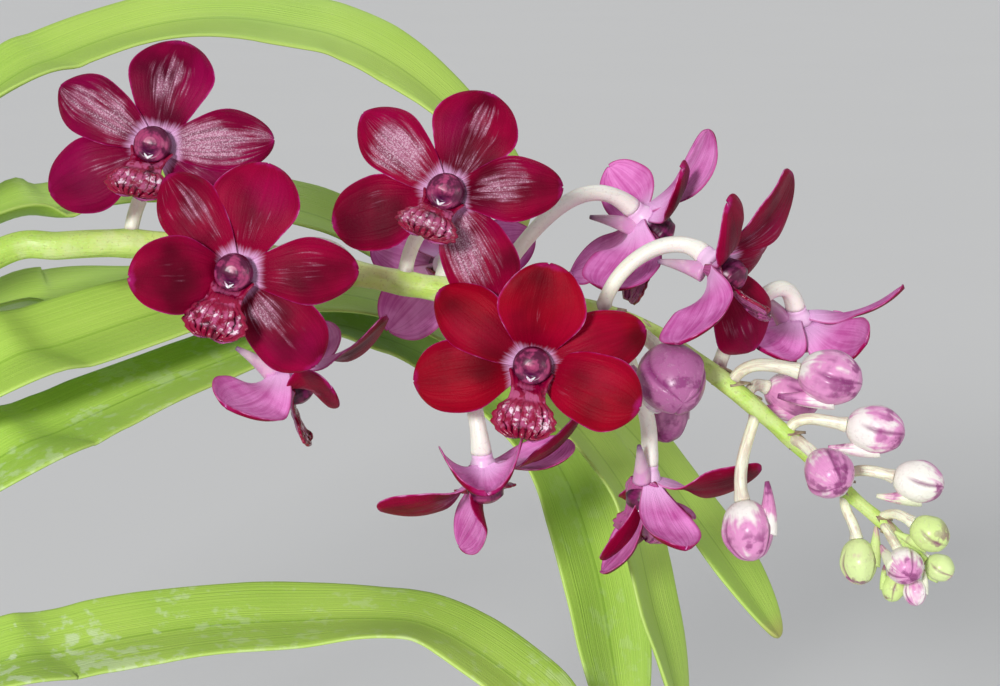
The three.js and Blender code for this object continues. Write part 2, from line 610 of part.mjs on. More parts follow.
function flowerStalk() {
  const pieces = [
    solidOf(tube(stalkCurve, (v) => STALK_RADIUS + (STALK_TIP_RADIUS - STALK_RADIUS) * v ** 2.2, 7, 22)),
  ];
  for (const { at, faces, from, leaves } of Object.values(BLOOMS)) {
    const way = facing(faces);
    const end = seen(at).addScaledVector(way, -HUB_BACK - GAP);
    pieces.push(pedicel(from, leaves, end, way, PEDICEL_RADIUS, 5, 6));
    pieces.push(bract(from, leaves));
  }
  for (const { at, tip, length, width, from, leaves } of Object.values(BUDS)) {
    const way = facing(tip);
    const end = seen(at).addScaledVector(way, -length / 2 - GAP);
    pieces.push(pedicel(from, leaves, end, way, 0.6 + 0.07 * width, 5, 4));
    if (width > 11) pieces.push(bract(from, leaves));
  }
  return joined(pieces).subtract(stemAndRoots(GAP));
}

// Blooms and buds

// The half width of a petal or sepal, widest at the share named broadest, narrow at its claw and rounded at
// its tip.
function tepalWidth(v, { width, broadest, claw, pointed }) {
  const rise = claw + (1 - claw) * Math.sin((Math.PI / 2) * Math.min(1, v / broadest)) ** 1.2;
  const past = Math.max(0, (v - broadest) / (1 - broadest));
  return (width / 2) * Math.max(0.1, v < broadest ? rise : (1 - past ** 2) ** pointed);
}

const TOP_SEPAL = {
  length: SEPAL_LENGTH,
  width: SEPAL_WIDTH,
  broadest: 0.64,
  claw: 0.3,
  pointed: 0.5,
  cup: 1.2,
  lift: 0,
};
const SIDE_SEPAL = {
  length: PETAL_LENGTH,
  width: SIDE_SEPAL_WIDTH,
  broadest: 0.62,
  claw: 0.3,
  pointed: 0.55,
  cup: -0.9,
  lift: 0,
};
const PETAL = {
  length: PETAL_LENGTH,
  width: PETAL_WIDTH,
  broadest: 0.58,
  claw: 0.32,
  pointed: 0.6,
  cup: -1.1,
  lift: 1.5,
};

// A petal or sepal in the bloom's own frame, where +Z faces out of the bloom and +Y points to its top sepal.
function tepal(shape, [angle, fold, twist = 0, longer = 1, broader = 1, cup = shape.cup]) {
  const length = shape.length * longer;
  const turn = THREE.MathUtils.degToRad(angle);
  const forward = THREE.MathUtils.degToRad(fold);
  const out = new THREE.Vector3(Math.sin(turn), Math.cos(turn), 0);
  const face = new THREE.Vector3(0, 0, 1);
  const along = out.clone().multiplyScalar(Math.cos(forward)).addScaledVector(face, Math.sin(forward));
  const rise = face.clone().multiplyScalar(Math.cos(forward)).addScaledVector(out, -Math.sin(forward));
  const across = new THREE.Vector3(Math.cos(turn), -Math.sin(turn), 0);
  const surface = (u, v) => {
    const half = tepalWidth(v, shape) * broader;
    const arch = length * (0.1 * Math.sin(Math.PI * v) - 0.07 * v * v);
    const turned = THREE.MathUtils.degToRad(twist * THREE.MathUtils.smoothstep(v, 0.05, 0.5));
    const bowl = shape.lift * (1 - v ** 3) + arch + cup * ((u * half) / 8) ** 2;
    return along
      .clone()
      .multiplyScalar(TEPAL_START + (length - TEPAL_START) * v)
      .addScaledVector(across, u * half * Math.cos(turned))
      .addScaledVector(rise, u * half * Math.sin(turned) + bowl);
  };
  return solidOf(sheet(surface, 2, 4, TEPAL_THICKNESS, (v) => Math.sin((Math.PI / 2) * v) ** 0.9));
}

// The lip leaves the column's foot between two small raised lobes, runs forward as a narrow saddle and ends
// in a broad fan: how far along each station lies, its half width, and how far its edges rise.
const LIP_STATIONS = [
  [0, 3, 0.4],
  [0.2, 4.6, 2.6],
  [0.42, 3.4, 0.6],
  [0.62, 5.4, -0.3],
  [0.82, 6.7, -0.8],
  [1, 3.8, -0.3],
];

function lip(hang) {
  const drop = THREE.MathUtils.degToRad(hang);
  const foot = new THREE.Vector3(0, -2.4, 0.6);
  const path = new THREE.QuadraticBezierCurve3(
    foot,
    new THREE.Vector3(0, -3.2, 7.5),
    new THREE.Vector3(0, foot.y - LIP_LENGTH * Math.sin(drop), foot.z + LIP_LENGTH * Math.cos(drop)),
  );
  const steps = LIP_STATIONS.length - 1;
  const surface = (u, place) => {
    const at = Math.min(steps - 1, Math.floor(place * steps));
    const [v, half, edge] = [0, 1, 2].map((k) =>
      THREE.MathUtils.lerp(LIP_STATIONS[at][k], LIP_STATIONS[at + 1][k], place * steps - at),
    );
    const along = path.getTangent(v);
    const rise = new THREE.Vector3(0, along.z, -along.y);
    return path.getPoint(v).addScaledVector(rise, edge * u * u).add(new THREE.Vector3(u * half, 0, 0));
  };
  return solidOf(sheet(surface, 2, steps, 1.4));
}

// The hub that the tepals sit on, and the round column in front of it.
function column() {
  return turned(
    [[0, -HUB_BACK], [HUB_RADIUS, -HUB_BACK], [HUB_RADIUS - 0.2, 2.9], [COLUMN_RADIUS, 5.2], [2.9, 7.8],
      [0, COLUMN_LENGTH]],
    7,
  );
}

function bloom({ tepals, lip: hang }) {
  const shapes = [TOP_SEPAL, SIDE_SEPAL, SIDE_SEPAL, PETAL, PETAL];
  const spur = spike(new THREE.Vector3(0, -3, 0.4), new THREE.Vector3(0, -0.5, -1), 2.1, SPUR_LENGTH, 5);
  return joined([column(), lip(hang), spur, ...shapes.map((shape, k) => tepal(shape, tepals[k]))]);
}

// A bud in its own frame, where +Z points to its tip and -Y to its spur.
function bud({ length, width }) {
  const half = length / 2;
  const radius = width / 2;
  const profile = [[0, -half], [0.3 * radius, -half], [0.76 * radius, -0.68 * half], [radius, -0.1 * half],
    [0.92 * radius, 0.35 * half], [0.58 * radius, 0.8 * half], [0, half]];
  const foot = new THREE.Vector3(0, -0.66 * radius, 0.2 * half);
  const reach = HORN_LENGTH * length + 0.3 * half;
  const horn = spike(foot, new THREE.Vector3(0, -0.2, -1), HORN_RADIUS * radius, reach, 5);
  return turned(profile, 7).add(horn);
}

// Assembly

const plant = new THREE.Group();

function add(name, solid, finish) {
  const mesh = new THREE.Mesh(geometryOf(solid), finish);
  mesh.name = name;
  plant.add(mesh);
  return mesh;
}

// Turns a piece so that its own +Z looks along face, and its +Y, as nearly as it can, along top.
function set(mesh, place, face, top) {
  const y = top.clone().addScaledVector(face, -top.dot(face)).normalize();
  const x = new THREE.Vector3().crossVectors(y, face);
  mesh.quaternion.setFromRotationMatrix(new THREE.Matrix4().makeBasis(x, y, face));
  mesh.position.copy(place);
}

add("vase", vase(), GLAZE);
add("bark", bark(), BARK);
add("stem_and_roots", stemAndRoots(0), STEM);
for (const [name, height] of Object.entries(FLOWER_SIDE)) {
  add(name, leaf(seenLeafFrame(height, SEEN_LEAVES[name]), LEAF_WIDTH), LEAF);
}
for (const [name, height] of Object.entries(FAR_SIDE)) {
  add(name, leaf(archingLeafFrame(height, ARCHING_LEAVES[name]), LEAF_WIDTH), LEAF);
}
add("leaf_crown", leaf(crownLeafFrame(), 20), LEAF);
add("flower_stalk", flowerStalk(), STALK);
for (const [name, shape] of Object.entries(BLOOMS)) {
  set(add(name, bloom(shape), BLOOM), seen(shape.at), facing(shape.faces), facing(shape.top));
}
for (const [name, shape] of Object.entries(BUDS)) {
  set(add(name, bud(shape), BUD), seen(shape.at), facing(shape.tip), facing(shape.spur).negate());
}

export default plant;
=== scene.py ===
"""Looks of an orchid in a vase.

A stem with two ranks of strap leaves stands in bark in a plain glazed vase. One arching flower stalk
carries open blooms on its first half and buds towards its tip. Sizes are in millimetres until a mesh is
made, +Z is up, and the origin is the middle of the vase's foot.
"""

import logging
import math
import random
from collections.abc import Callable, Sequence
from dataclasses import dataclass, field
from enum import Enum

import bpy
import numpy as np
from mathutils import Matrix, Vector


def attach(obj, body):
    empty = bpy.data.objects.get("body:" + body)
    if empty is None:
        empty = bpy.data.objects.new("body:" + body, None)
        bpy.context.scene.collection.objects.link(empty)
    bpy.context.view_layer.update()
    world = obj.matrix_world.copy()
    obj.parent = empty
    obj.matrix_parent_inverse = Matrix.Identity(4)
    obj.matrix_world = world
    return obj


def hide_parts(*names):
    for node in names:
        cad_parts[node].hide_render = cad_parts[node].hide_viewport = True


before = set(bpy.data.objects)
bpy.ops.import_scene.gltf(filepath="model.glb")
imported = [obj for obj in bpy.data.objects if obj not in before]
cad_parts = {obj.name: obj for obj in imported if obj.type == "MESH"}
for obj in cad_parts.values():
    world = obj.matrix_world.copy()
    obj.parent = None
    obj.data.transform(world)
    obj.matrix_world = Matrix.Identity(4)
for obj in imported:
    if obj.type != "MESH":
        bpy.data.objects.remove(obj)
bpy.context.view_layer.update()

LOG = logging.getLogger("orchid")
MM = 0.001

Array = np.ndarray
Piece = bpy.types.Object
Number = float | int
Point = tuple[float, float, float]
Colour = tuple[float, float, float]
Socket = bpy.types.NodeSocket
Value = Socket | float | int | tuple


class Slot(Enum):
    """Material slots of the record."""

    GLAZE = "vase_glaze"
    BARK = "bark"
    STEM = "stem"
    LEAF = "leaf"
    STALK = "stalk"
    PETAL = "petal"
    BUD = "bud"


class Mark(Enum):
    """Names of the attributes that a finish reads from a piece.

    SPOT is the place on its surface and TONE a number for the whole piece. ACCENT is how much painted
    silvery sheen a tepal carries, how deep a corner lies in a column's hollow, which is painted darker as
    shade, or how near it is to a bud's seam.
    """

    SPOT = "spot"
    TONE = "tone"
    ACCENT = "accent"


# Small vector helpers


def unit(vector: Array) -> Array:
    """Returns vector, or each row of it, at length one."""
    length = np.linalg.norm(vector, axis=-1, keepdims=True)
    return vector / np.maximum(length, 1e-12)


def smoothstep(value: Array | Number, low: Number, high: Number) -> Array:
    """Returns a smooth rise from 0 at low to 1 at high."""
    share = np.clip((np.asarray(value, float) - low) / (high - low), 0, 1)
    return share * share * (3 - 2 * share)


def bump_at(value: Array, middle: Number, width: Number) -> Array:
    """Returns a bell of height one round middle."""
    return np.exp(-(((value - middle) / width) ** 2))


@dataclass(frozen=True)
class FrontView:
    """The front view, a picture 1000 columns wide with the stalk a fixed distance behind it."""

    pixel: float = 0.215
    distance: float = 640.0
    tilt: float = math.radians(10)
    middle: Point = (162.0, 0.0, 290.0)
    column: float = 500.0
    row: float = 343.0
    columns: int = 1000

    @property
    def right(self) -> Array:
        """The way to the picture's right."""
        return np.array([1.0, 0.0, 0.0])

    @property
    def away(self) -> Array:
        """The way into the picture."""
        return np.array([0.0, math.cos(self.tilt), -math.sin(self.tilt)])

    @property
    def up(self) -> Array:
        """The way to the picture's top."""
        return np.array([0.0, math.sin(self.tilt), math.cos(self.tilt)])

    def point(self, spot: Sequence[float]) -> Array:
        """Finds the point seen at a column and row.

        Args:
            spot: column, row and depth in millimetres behind the stalk's plane.

        Returns:
            The point in millimetres.
        """
        column, row, depth = spot[:3]
        size = self.pixel * (self.distance + depth) / self.distance
        place = np.array(self.middle) + self.away * depth
        return place + self.right * (column - self.column) * size + self.up * (self.row - row) * size

    def facing(self, way: Sequence[float]) -> Array:
        """Turns parts to the right, up and towards the view into a unit vector."""
        right, up, near = way
        return unit(self.right * right + self.up * up - self.away * near)

    def add_camera(self) -> None:
        """Adds the camera that sees this view."""
        data = bpy.data.cameras.new("camera")
        data.sensor_width = 36.0
        data.lens = self.distance / self.pixel * data.sensor_width / self.columns
        data.clip_start, data.clip_end = 0.01, 60.0
        camera = bpy.data.objects.new("camera", data)
        camera.location = (np.array(self.middle) - self.away * self.distance) * MM
        camera.rotation_euler = (math.pi / 2 - self.tilt, 0.0, 0.0)
        bpy.context.scene.collection.objects.link(camera)
        bpy.context.scene.camera = camera


VIEW = FrontView()


class Path:
    """A curve that is walked by its own length, from 0 to 1."""

    def __init__(self, samples: Array) -> None:
        """Measures the curve.

        Args:
            samples: points close together along it, evenly spaced in its own parameter.
        """
        self.samples = samples
        steps = np.linalg.norm(np.diff(samples, axis=0), axis=1)
        self.lengths = np.concatenate([[0.0], np.cumsum(steps)])
        self.length = float(self.lengths[-1])
        self.share = np.linspace(0, 1, len(samples))

    @classmethod
    def through(cls, points: Sequence[Sequence[float]], fine: int = 60) -> "Path":
        """Makes a smooth curve through points."""
        known = np.array(points, float)
        known = np.vstack([2 * known[0] - known[1], known, 2 * known[-1] - known[-2]])
        at = np.linspace(0, 1, fine, endpoint=False)[:, None]
        spans = []
        for before, start, end, after in zip(known, known[1:], known[2:], known[3:]):
            leave, arrive = (end - before) / 2, (after - start) / 2
            spans.append(
                (2 * at**3 - 3 * at**2 + 1) * start
                + (at**3 - 2 * at**2 + at) * leave
                + (3 * at**2 - 2 * at**3) * end
                + (at**3 - at**2) * arrive
            )
        return cls(np.vstack([*spans, known[-2:-1]]))

    @classmethod
    def bezier(cls, points: Sequence[Array], fine: int = 120) -> "Path":
        """Makes a curve that leaves along its first leg and arrives along its last."""
        at = np.linspace(0, 1, fine + 1)[:, None]
        order = len(points) - 1
        total = sum(
            math.comb(order, k) * (1 - at) ** (order - k) * at**k * np.array(point)
            for k, point in enumerate(points)
        )
        return cls(total)

    def own_share(self, v: Array) -> Array:
        """Returns the curve's own parameter at each share of its length."""
        return np.interp(np.asarray(v) * self.length, self.lengths, self.share)

    def point(self, v: Array) -> Array:
        """Returns the point at each share of the length."""
        far = np.asarray(v) * self.length
        return np.stack([np.interp(far, self.lengths, self.samples[:, k]) for k in range(3)], axis=-1)

    def tangent(self, v: Array) -> Array:
        """Returns the unit tangent at each share of the length."""
        step, share = 0.004, np.asarray(v)
        return unit(self.point(np.minimum(1, share + step)) - self.point(np.maximum(0, share - step)))

    def frames(self, v: Array) -> tuple[Array, Array]:
        """Carries two side vectors along the curve without twist.

        Args:
            v: shares of the length, rising.

        Returns:
            The two side vectors at each share.
        """
        tangents = self.tangent(v)
        side = np.cross(tangents[0], [0.3, 0.2, 1.0] if abs(tangents[0][2]) < 0.9 else [1.0, 0.2, 0.1])
        sides = []
        for tangent in tangents:
            side = unit(side - tangent * side.dot(tangent))
            sides.append(side)
        sides = np.array(sides)
        return sides, np.cross(tangents, sides)


# Modelling with operators


Ring = Callable[[Array, Array], Array]


def clear_selection() -> None:
    """Deselects everything."""
    bpy.ops.object.select_all(action="DESELECT")


def pick(*pieces: Piece) -> None:
    """Selects these pieces alone, the first one active."""
    clear_selection()
    for piece in pieces:
        piece.select_set(True)
    bpy.context.view_layer.objects.active = pieces[0]


def close_up(piece: Piece) -> None:
    """Merges a piece's doubled corners and points its faces outwards."""
    pick(piece)
    bpy.ops.object.mode_set(mode="EDIT")
    bpy.ops.mesh.select_all(action="SELECT")
    bpy.ops.mesh.remove_doubles(threshold=2e-6)
    bpy.ops.mesh.normals_make_consistent(inside=False)
    bpy.ops.object.mode_set(mode="OBJECT")


def join(name: str, pieces: Sequence[Piece]) -> Piece:
    """Joins pieces into one that has this name."""
    pick(*pieces)
    if len(pieces) > 1:
        bpy.ops.object.join()
    whole = bpy.context.view_layer.objects.active
    whole.name = whole.data.name = name
    return whole


def mark(piece: Piece, name: Mark, values: Array) -> None:
    """Stores a number or a vector at each corner of a piece's mesh."""
    kind = "FLOAT" if values.ndim == 1 else "FLOAT_VECTOR"
    attribute = piece.data.attributes.new(name.value, kind, "POINT")
    attribute.data.foreach_set("value" if values.ndim == 1 else "vector", values.astype(np.float32).ravel())


def evenly(v: Array) -> Array:
    """Spaces rows evenly."""
    return v


@dataclass
class Skin:
    """A closed skin: a flat grid wrapped round a ring at each step along a piece.

    Its two ends are drawn together. Its mark SPOT holds, at each corner, across from -1 to 1, along from 0
    to 1 and side, 1 in front and -1 behind. The function row_at says where along the piece each row lies.
    """

    name: str
    around: int
    rows: int
    ring: Ring
    tone: float = 0.0
    row_at: Callable[[Array], Array] = evenly
    accent: float | Ring = 0.0

    def build(self) -> Piece:
        """Adds the grid, wraps it and closes it."""
        clear_selection()
        bpy.ops.mesh.primitive_grid_add(x_subdivisions=self.around, y_subdivisions=self.rows, size=2.0)
        piece = bpy.context.object
        piece.name = piece.data.name = self.name
        flat = np.empty(len(piece.data.vertices) * 3)
        piece.data.vertices.foreach_get("co", flat)
        flat = flat.reshape(-1, 3)
        column = np.rint((flat[:, 0] + 1) / 2 * self.around).astype(int)
        row = np.rint((flat[:, 1] + 1) / 2 * self.rows).astype(int)
        turn = 2 * math.pi * (np.arange(self.around + 1) % self.around) / self.around
        along = self.row_at(np.clip((np.arange(self.rows + 1) - 1) / (self.rows - 2), 0, 1))
        around, ahead = turn[None, :] + 0 * along[:, None], along[:, None] + 0 * turn[None, :]
        places = self.ring(around, ahead)
        for end, beside in ((0, 1), (-1, -2)):
            places[end] = places[beside][:-1].mean(axis=0)
        piece.data.vertices.foreach_set("co", (places[row, column] * MM).astype(np.float32).ravel())
        spot = np.stack([np.cos(turn)[column], along[row], np.sin(turn)[column]], axis=1)
        mark(piece, Mark.SPOT, spot)
        mark(piece, Mark.TONE, np.full(len(flat), self.tone))
        accent = self.accent(around, ahead) if callable(self.accent) else self.accent + 0 * around
        mark(piece, Mark.ACCENT, accent[row, column])
        piece.data.update()
        close_up(piece)
        bpy.ops.object.shade_smooth()
        return piece


def blade_ring(
    surface: Callable[[Array, Array], Array], thickness: float, edge: float = 0.55
) -> Ring:
    """Makes the ring of a thin blade whose margins are rounded.

    Args:
        surface: the middle surface, from u across (-1 to 1) and v along (0 to 1).
        thickness: at the middle.
        edge: how soon it thins towards the margin; less is later.

    Returns:
        The ring.
    """

    def ring(turn: Array, along: Array) -> Array:
        """Places a ring's corners, the front where the sine of turn is above 0."""
        step = 2e-3
        u = np.cos(turn)
        across = surface(u + step, along) - surface(u - step, along)
        ahead = surface(u, np.minimum(1, along + step)) - surface(u, np.maximum(0, along - step))
        normal = unit(np.cross(across, ahead))
        lift = np.sign(np.sin(turn)) * np.abs(np.sin(turn)) ** edge * thickness / 2
        return surface(u, along) + normal * lift[..., None]

    return ring


def tube_ring(path: Path, radius: Callable[[Array, Array], Array]) -> Ring:
    """Makes the ring of a round piece along a path, whose radius follows turn and along."""

    def ring(turn: Array, along: Array) -> Array:
        """Places a ring's corners round the path."""
        v = along[:, 0]
        first, second = path.frames(v)
        size = radius(turn, along)[..., None]
        out = first[:, None, :] * np.cos(turn)[..., None] + second[:, None, :] * np.sin(turn)[..., None]
        return path.point(v)[:, None, :] + out * size

    return ring


@dataclass(frozen=True)
class Stand:
    """A piece's own frame: +Z along face and +Y, as nearly as it can, along top."""

    place: Array
    face: Array
    top: Array

    def put(self, ring: Ring) -> Ring:
        """Returns the ring, moved from the piece's own frame into the part's."""
        y = unit(self.top - self.face * self.top.dot(self.face))
        turn = np.stack([np.cross(y, self.face), y, self.face])

        def moved(around: Array, along: Array) -> Array:
            """Places the ring's corners in the part's frame."""
            return ring(around, along) @ turn + self.place

        return moved


# Finishes


class Graph:
    """Adds and links the nodes of one tree."""

    def __init__(self, tree: bpy.types.NodeTree) -> None:
        """Starts from a tree."""
        self.tree = tree

    def node(self, kind: str, **settings: object) -> bpy.types.Node:
        """Adds a node with these settings."""
        node = self.tree.nodes.new(kind)
        for key, value in settings.items():
            setattr(node, key, value)
        return node

    def feed(self, socket: Socket, value: Value) -> None:
        """Links a socket, or sets its own value."""
        if isinstance(value, bpy.types.NodeSocket):
            self.tree.links.new(value, socket)
        elif socket.type == "RGBA" and len(value) == 3:
            socket.default_value = (*value, 1.0)
        else:
            socket.default_value = value

    def math(self, operation: str, first: Value, second: Value = 0.0, third: Value = 0.0) -> Socket:
        """Adds a Math node and returns its value."""
        node = self.node("ShaderNodeMath", operation=operation)
        for socket, value in zip(node.inputs, (first, second, third)):
            self.feed(socket, value)
        return node.outputs[0]

    def mix(self, share: Value, first: Value, second: Value) -> Socket:
        """Mixes two colours."""
        node = self.node("ShaderNodeMix", data_type="RGBA", clamp_factor=True)
        self.feed(node.inputs[0], share)
        self.feed(node.inputs[6], first)
        self.feed(node.inputs[7], second)
        return node.outputs[2]

    def between(self, value: Value, low: float, high: float, start: float = 0.0, end: float = 1.0) -> Socket:
        """Maps low..high smoothly to start..end; low may be above high."""
        node = self.node("ShaderNodeMapRange", interpolation_type="SMOOTHSTEP")
        if low > high:
            low, high, start, end = high, low, end, start
        for socket, given in zip(node.inputs, (value, low, high, start, end)):
            self.feed(socket, given)
        return node.outputs[0]

    def vector(self, x: Value, y: Value, z: Value) -> Socket:
        """Joins three numbers to a vector."""
        node = self.node("ShaderNodeCombineXYZ")
        for socket, value in zip(node.inputs, (x, y, z)):
            self.feed(socket, value)
        return node.outputs[0]

    def noise(self, vector: Value, scale: float, detail: float = 3.0, roughness: float = 0.55) -> Socket:
        """Adds a Noise Texture and returns its value."""
        node = self.node("ShaderNodeTexNoise")
        self.feed(node.inputs["Vector"], vector)
        node.inputs["Scale"].default_value = scale
        node.inputs["Detail"].default_value = detail
        node.inputs["Roughness"].default_value = roughness
        return node.outputs[0]

    def object_place(self) -> Socket:
        """Returns the place on the piece, in metres."""
        return self.node("ShaderNodeTexCoord").outputs["Object"]

    def height(self) -> Socket:
        """Returns the height on the piece, in metres."""
        parts = self.node("ShaderNodeSeparateXYZ")
        self.feed(parts.inputs[0], self.object_place())
        return parts.outputs[2]

    def spot(self) -> tuple[Socket, Socket, Socket]:
        """Returns across, along and side of the piece's own surface."""
        node = self.node("ShaderNodeAttribute", attribute_name=Mark.SPOT.value)
        parts = self.node("ShaderNodeSeparateXYZ")
        self.feed(parts.inputs[0], node.outputs["Vector"])
        return parts.outputs[0], parts.outputs[1], parts.outputs[2]

    def own(self, name: Mark) -> Socket:
        """Returns a number that the piece carries."""
        return self.node("ShaderNodeAttribute", attribute_name=name.value).outputs["Fac"]

    def tone(self) -> Socket:
        """Returns the piece's own tone."""
        return self.own(Mark.TONE)

    def product(self, *values: Value) -> Socket:
        """Multiplies numbers."""
        whole = values[0]
        for value in values[1:]:
            whole = self.math("MULTIPLY", whole, value)
        return whole

    def total(self, *values: Value) -> Socket:
        """Adds numbers."""
        whole = values[0]
        for value in values[1:]:
            whole = self.math("ADD", whole, value)
        return whole

    def bump(self, height: Value, distance: float, strength: float = 1.0) -> Socket:
        """Turns a height into a normal; distance is in metres."""
        node = self.node("ShaderNodeBump")
        node.inputs["Strength"].default_value = strength
        node.inputs["Distance"].default_value = distance
        self.feed(node.inputs["Height"], height)
        return node.outputs[0]


class Effect:
    """A shader node group that several finishes place, built the first time that it is asked for."""

    name = "effect"
    inputs: tuple[tuple[str, str, object], ...] = ()
    outputs: tuple[tuple[str, str], ...] = ()

    @classmethod
    def tree(cls) -> bpy.types.NodeTree:
        """Returns the group's tree."""
        found = bpy.data.node_groups.get(cls.name)
        if found:
            return found
        tree = bpy.data.node_groups.new(cls.name, "ShaderNodeTree")
        for name, kind, start in cls.inputs:
            socket = tree.interface.new_socket(name, in_out="INPUT", socket_type=kind)
            if start is not None:
                socket.default_value = start
        for name, kind in cls.outputs:
            tree.interface.new_socket(name, in_out="OUTPUT", socket_type=kind)
        graph = Graph(tree)
        source, sink = graph.node("NodeGroupInput"), graph.node("NodeGroupOutput")
        for name, value in cls.fill(graph, source).items():
            graph.feed(sink.inputs[name], value)
        return tree

    @classmethod
    def fill(cls, graph: Graph, source: bpy.types.Node) -> dict[str, Socket]:
        """Makes what the group puts out, by name."""
        raise NotImplementedError

    @classmethod
    def place(cls, graph: Graph, **values: Value) -> bpy.types.Node:
        """Adds the group to a finish and feeds its inputs, whose names have spaces for underscores."""
        node = graph.node("ShaderNodeGroup", node_tree=cls.tree())
        for key, value in values.items():
            graph.feed(node.inputs[key.replace("_", " ")], value)
        return node


class PaintedSheen(Effect):
    """Painted highlight: the silvery sheen that light makes on the fine glistening cells of a velvety petal.
    """

    name = "glisten"
    inputs = (
        ("Place", "NodeSocketVector", None),
        ("Amount", "NodeSocketFloat", 0.5),
        ("Across", "NodeSocketFloat", 0.0),
        ("Along", "NodeSocketFloat", 0.0),
        ("Tone", "NodeSocketFloat", 0.0),
    )
    outputs = (("Veil", "NodeSocketFloat"), ("Specks", "NodeSocketFloat"), ("Height", "NodeSocketFloat"))

    @classmethod
    def fill(cls, graph: Graph, source: bpy.types.Node) -> dict[str, Socket]:
        """Makes soft patches of painted sheen, the painted glints in them and the height of the cells."""
        place, amount, across, along, tone = (source.outputs[k] for k in range(5))
        patch = graph.noise(place, 95.0, 2.0)
        grain = graph.noise(place, 3300.0, 2.0, 0.7)
        wide = graph.product(across, 8.0)
        drawn_out = graph.vector(wide, graph.product(along, 1.5), graph.product(tone, 9.0))
        streak = graph.noise(drawn_out, 1.6, 3.0, 0.6)
        outer = graph.math("POWER", graph.math("ABSOLUTE", across), 2.0)
        ends = graph.math("POWER", graph.math("SUBTRACT", along, 0.42), 2.0)
        worth = graph.total(
            graph.product(patch, 0.6),
            graph.product(streak, 0.4),
            graph.product(amount, 0.3),
            graph.product(outer, -0.16),
            graph.product(ends, -0.4),
        )
        veil = graph.between(worth, 0.52, 0.68)
        # Painted highlight: bright glints inside the sheen patches.
        specks = graph.product(veil, graph.between(graph.total(grain, graph.product(veil, 0.1)), 0.56, 0.7))
        return {"Veil": veil, "Specks": specks, "Height": grain}


class Veins(Effect):
    """Fine lines that run along a blade."""

    name = "veins"
    inputs = (
        ("Across", "NodeSocketFloat", 0.0),
        ("Along", "NodeSocketFloat", 0.0),
        ("Count", "NodeSocketFloat", 10.0),
        ("Tone", "NodeSocketFloat", 0.0),
    )
    outputs = (("Lines", "NodeSocketFloat"), ("Height", "NodeSocketFloat"))

    @classmethod
    def fill(cls, graph: Graph, source: bpy.types.Node) -> dict[str, Socket]:
        """Makes the lines as noise drawn out along the blade."""
        across, along, count, tone = (source.outputs[k] for k in range(4))
        wide = graph.product(across, count)
        place = graph.vector(wide, graph.product(along, 1.6), graph.product(tone, 17.0))
        lines = graph.noise(place, 1.0, 2.0, 0.6)
        return {"Lines": graph.between(lines, 0.42, 0.62), "Height": lines}


class Freckles(Effect):
    """Soft blots and small flecks spread over a surface."""

    name = "freckles"
    inputs = (("Place", "NodeSocketVector", None), ("Amount", "NodeSocketFloat", 0.5))
    outputs = (("Blots", "NodeSocketFloat"), ("Flecks", "NodeSocketFloat"))

    @classmethod
    def fill(cls, graph: Graph, source: bpy.types.Node) -> dict[str, Socket]:
        """Makes the blots and the flecks."""
        place, amount = source.outputs[0], source.outputs[1]
        shift = graph.product(graph.math("SUBTRACT", amount, 0.5), 0.3)
        blots = graph.total(graph.noise(place, 190.0, 3.0), shift)
        flecks = graph.total(graph.noise(place, 1500.0, 2.0, 0.6), shift)
        return {"Blots": graph.between(blots, 0.45, 0.62), "Flecks": graph.between(flecks, 0.58, 0.68)}


@dataclass(frozen=True)
class Gloss:
    """The plain numbers of a shader."""

    roughness: float = 0.45
    specular: float = 0.5
    coat: float = 0.0
    coat_roughness: float = 0.2
    subsurface: float = 0.0
    subsurface_scale: float = 0.004


class Finish:
    """A material that is made once and then handed out."""

    name = "finish"
    gloss = Gloss()

    def dress(self, graph: Graph) -> dict[str, Value]:
        """Makes what feeds the shader's sockets, by name."""
        raise NotImplementedError

    def material(self) -> bpy.types.Material:
        """Returns the material, made the first time."""
        found = bpy.data.materials.get(self.name)
        if found:
            return found
        made = bpy.data.materials.new(self.name)
        made.use_nodes = True
        graph = Graph(made.node_tree)
        shader = next(n for n in made.node_tree.nodes if n.type == "BSDF_PRINCIPLED")
        fixed = {
            "Roughness": self.gloss.roughness,
            "Specular IOR Level": self.gloss.specular,
            "Coat Weight": self.gloss.coat,
            "Coat Roughness": self.gloss.coat_roughness,
            "Subsurface Weight": self.gloss.subsurface,
            "Subsurface Scale": self.gloss.subsurface_scale,
        }
        for name, value in fixed.items():
            shader.inputs[name].default_value = value
        for name, value in self.dress(graph).items():
            graph.feed(shader.inputs[name], value)
        return made

    def cover(self, piece: Piece) -> None:
        """Puts the material on a piece."""
        piece.data.materials.clear()
        piece.data.materials.append(self.material())


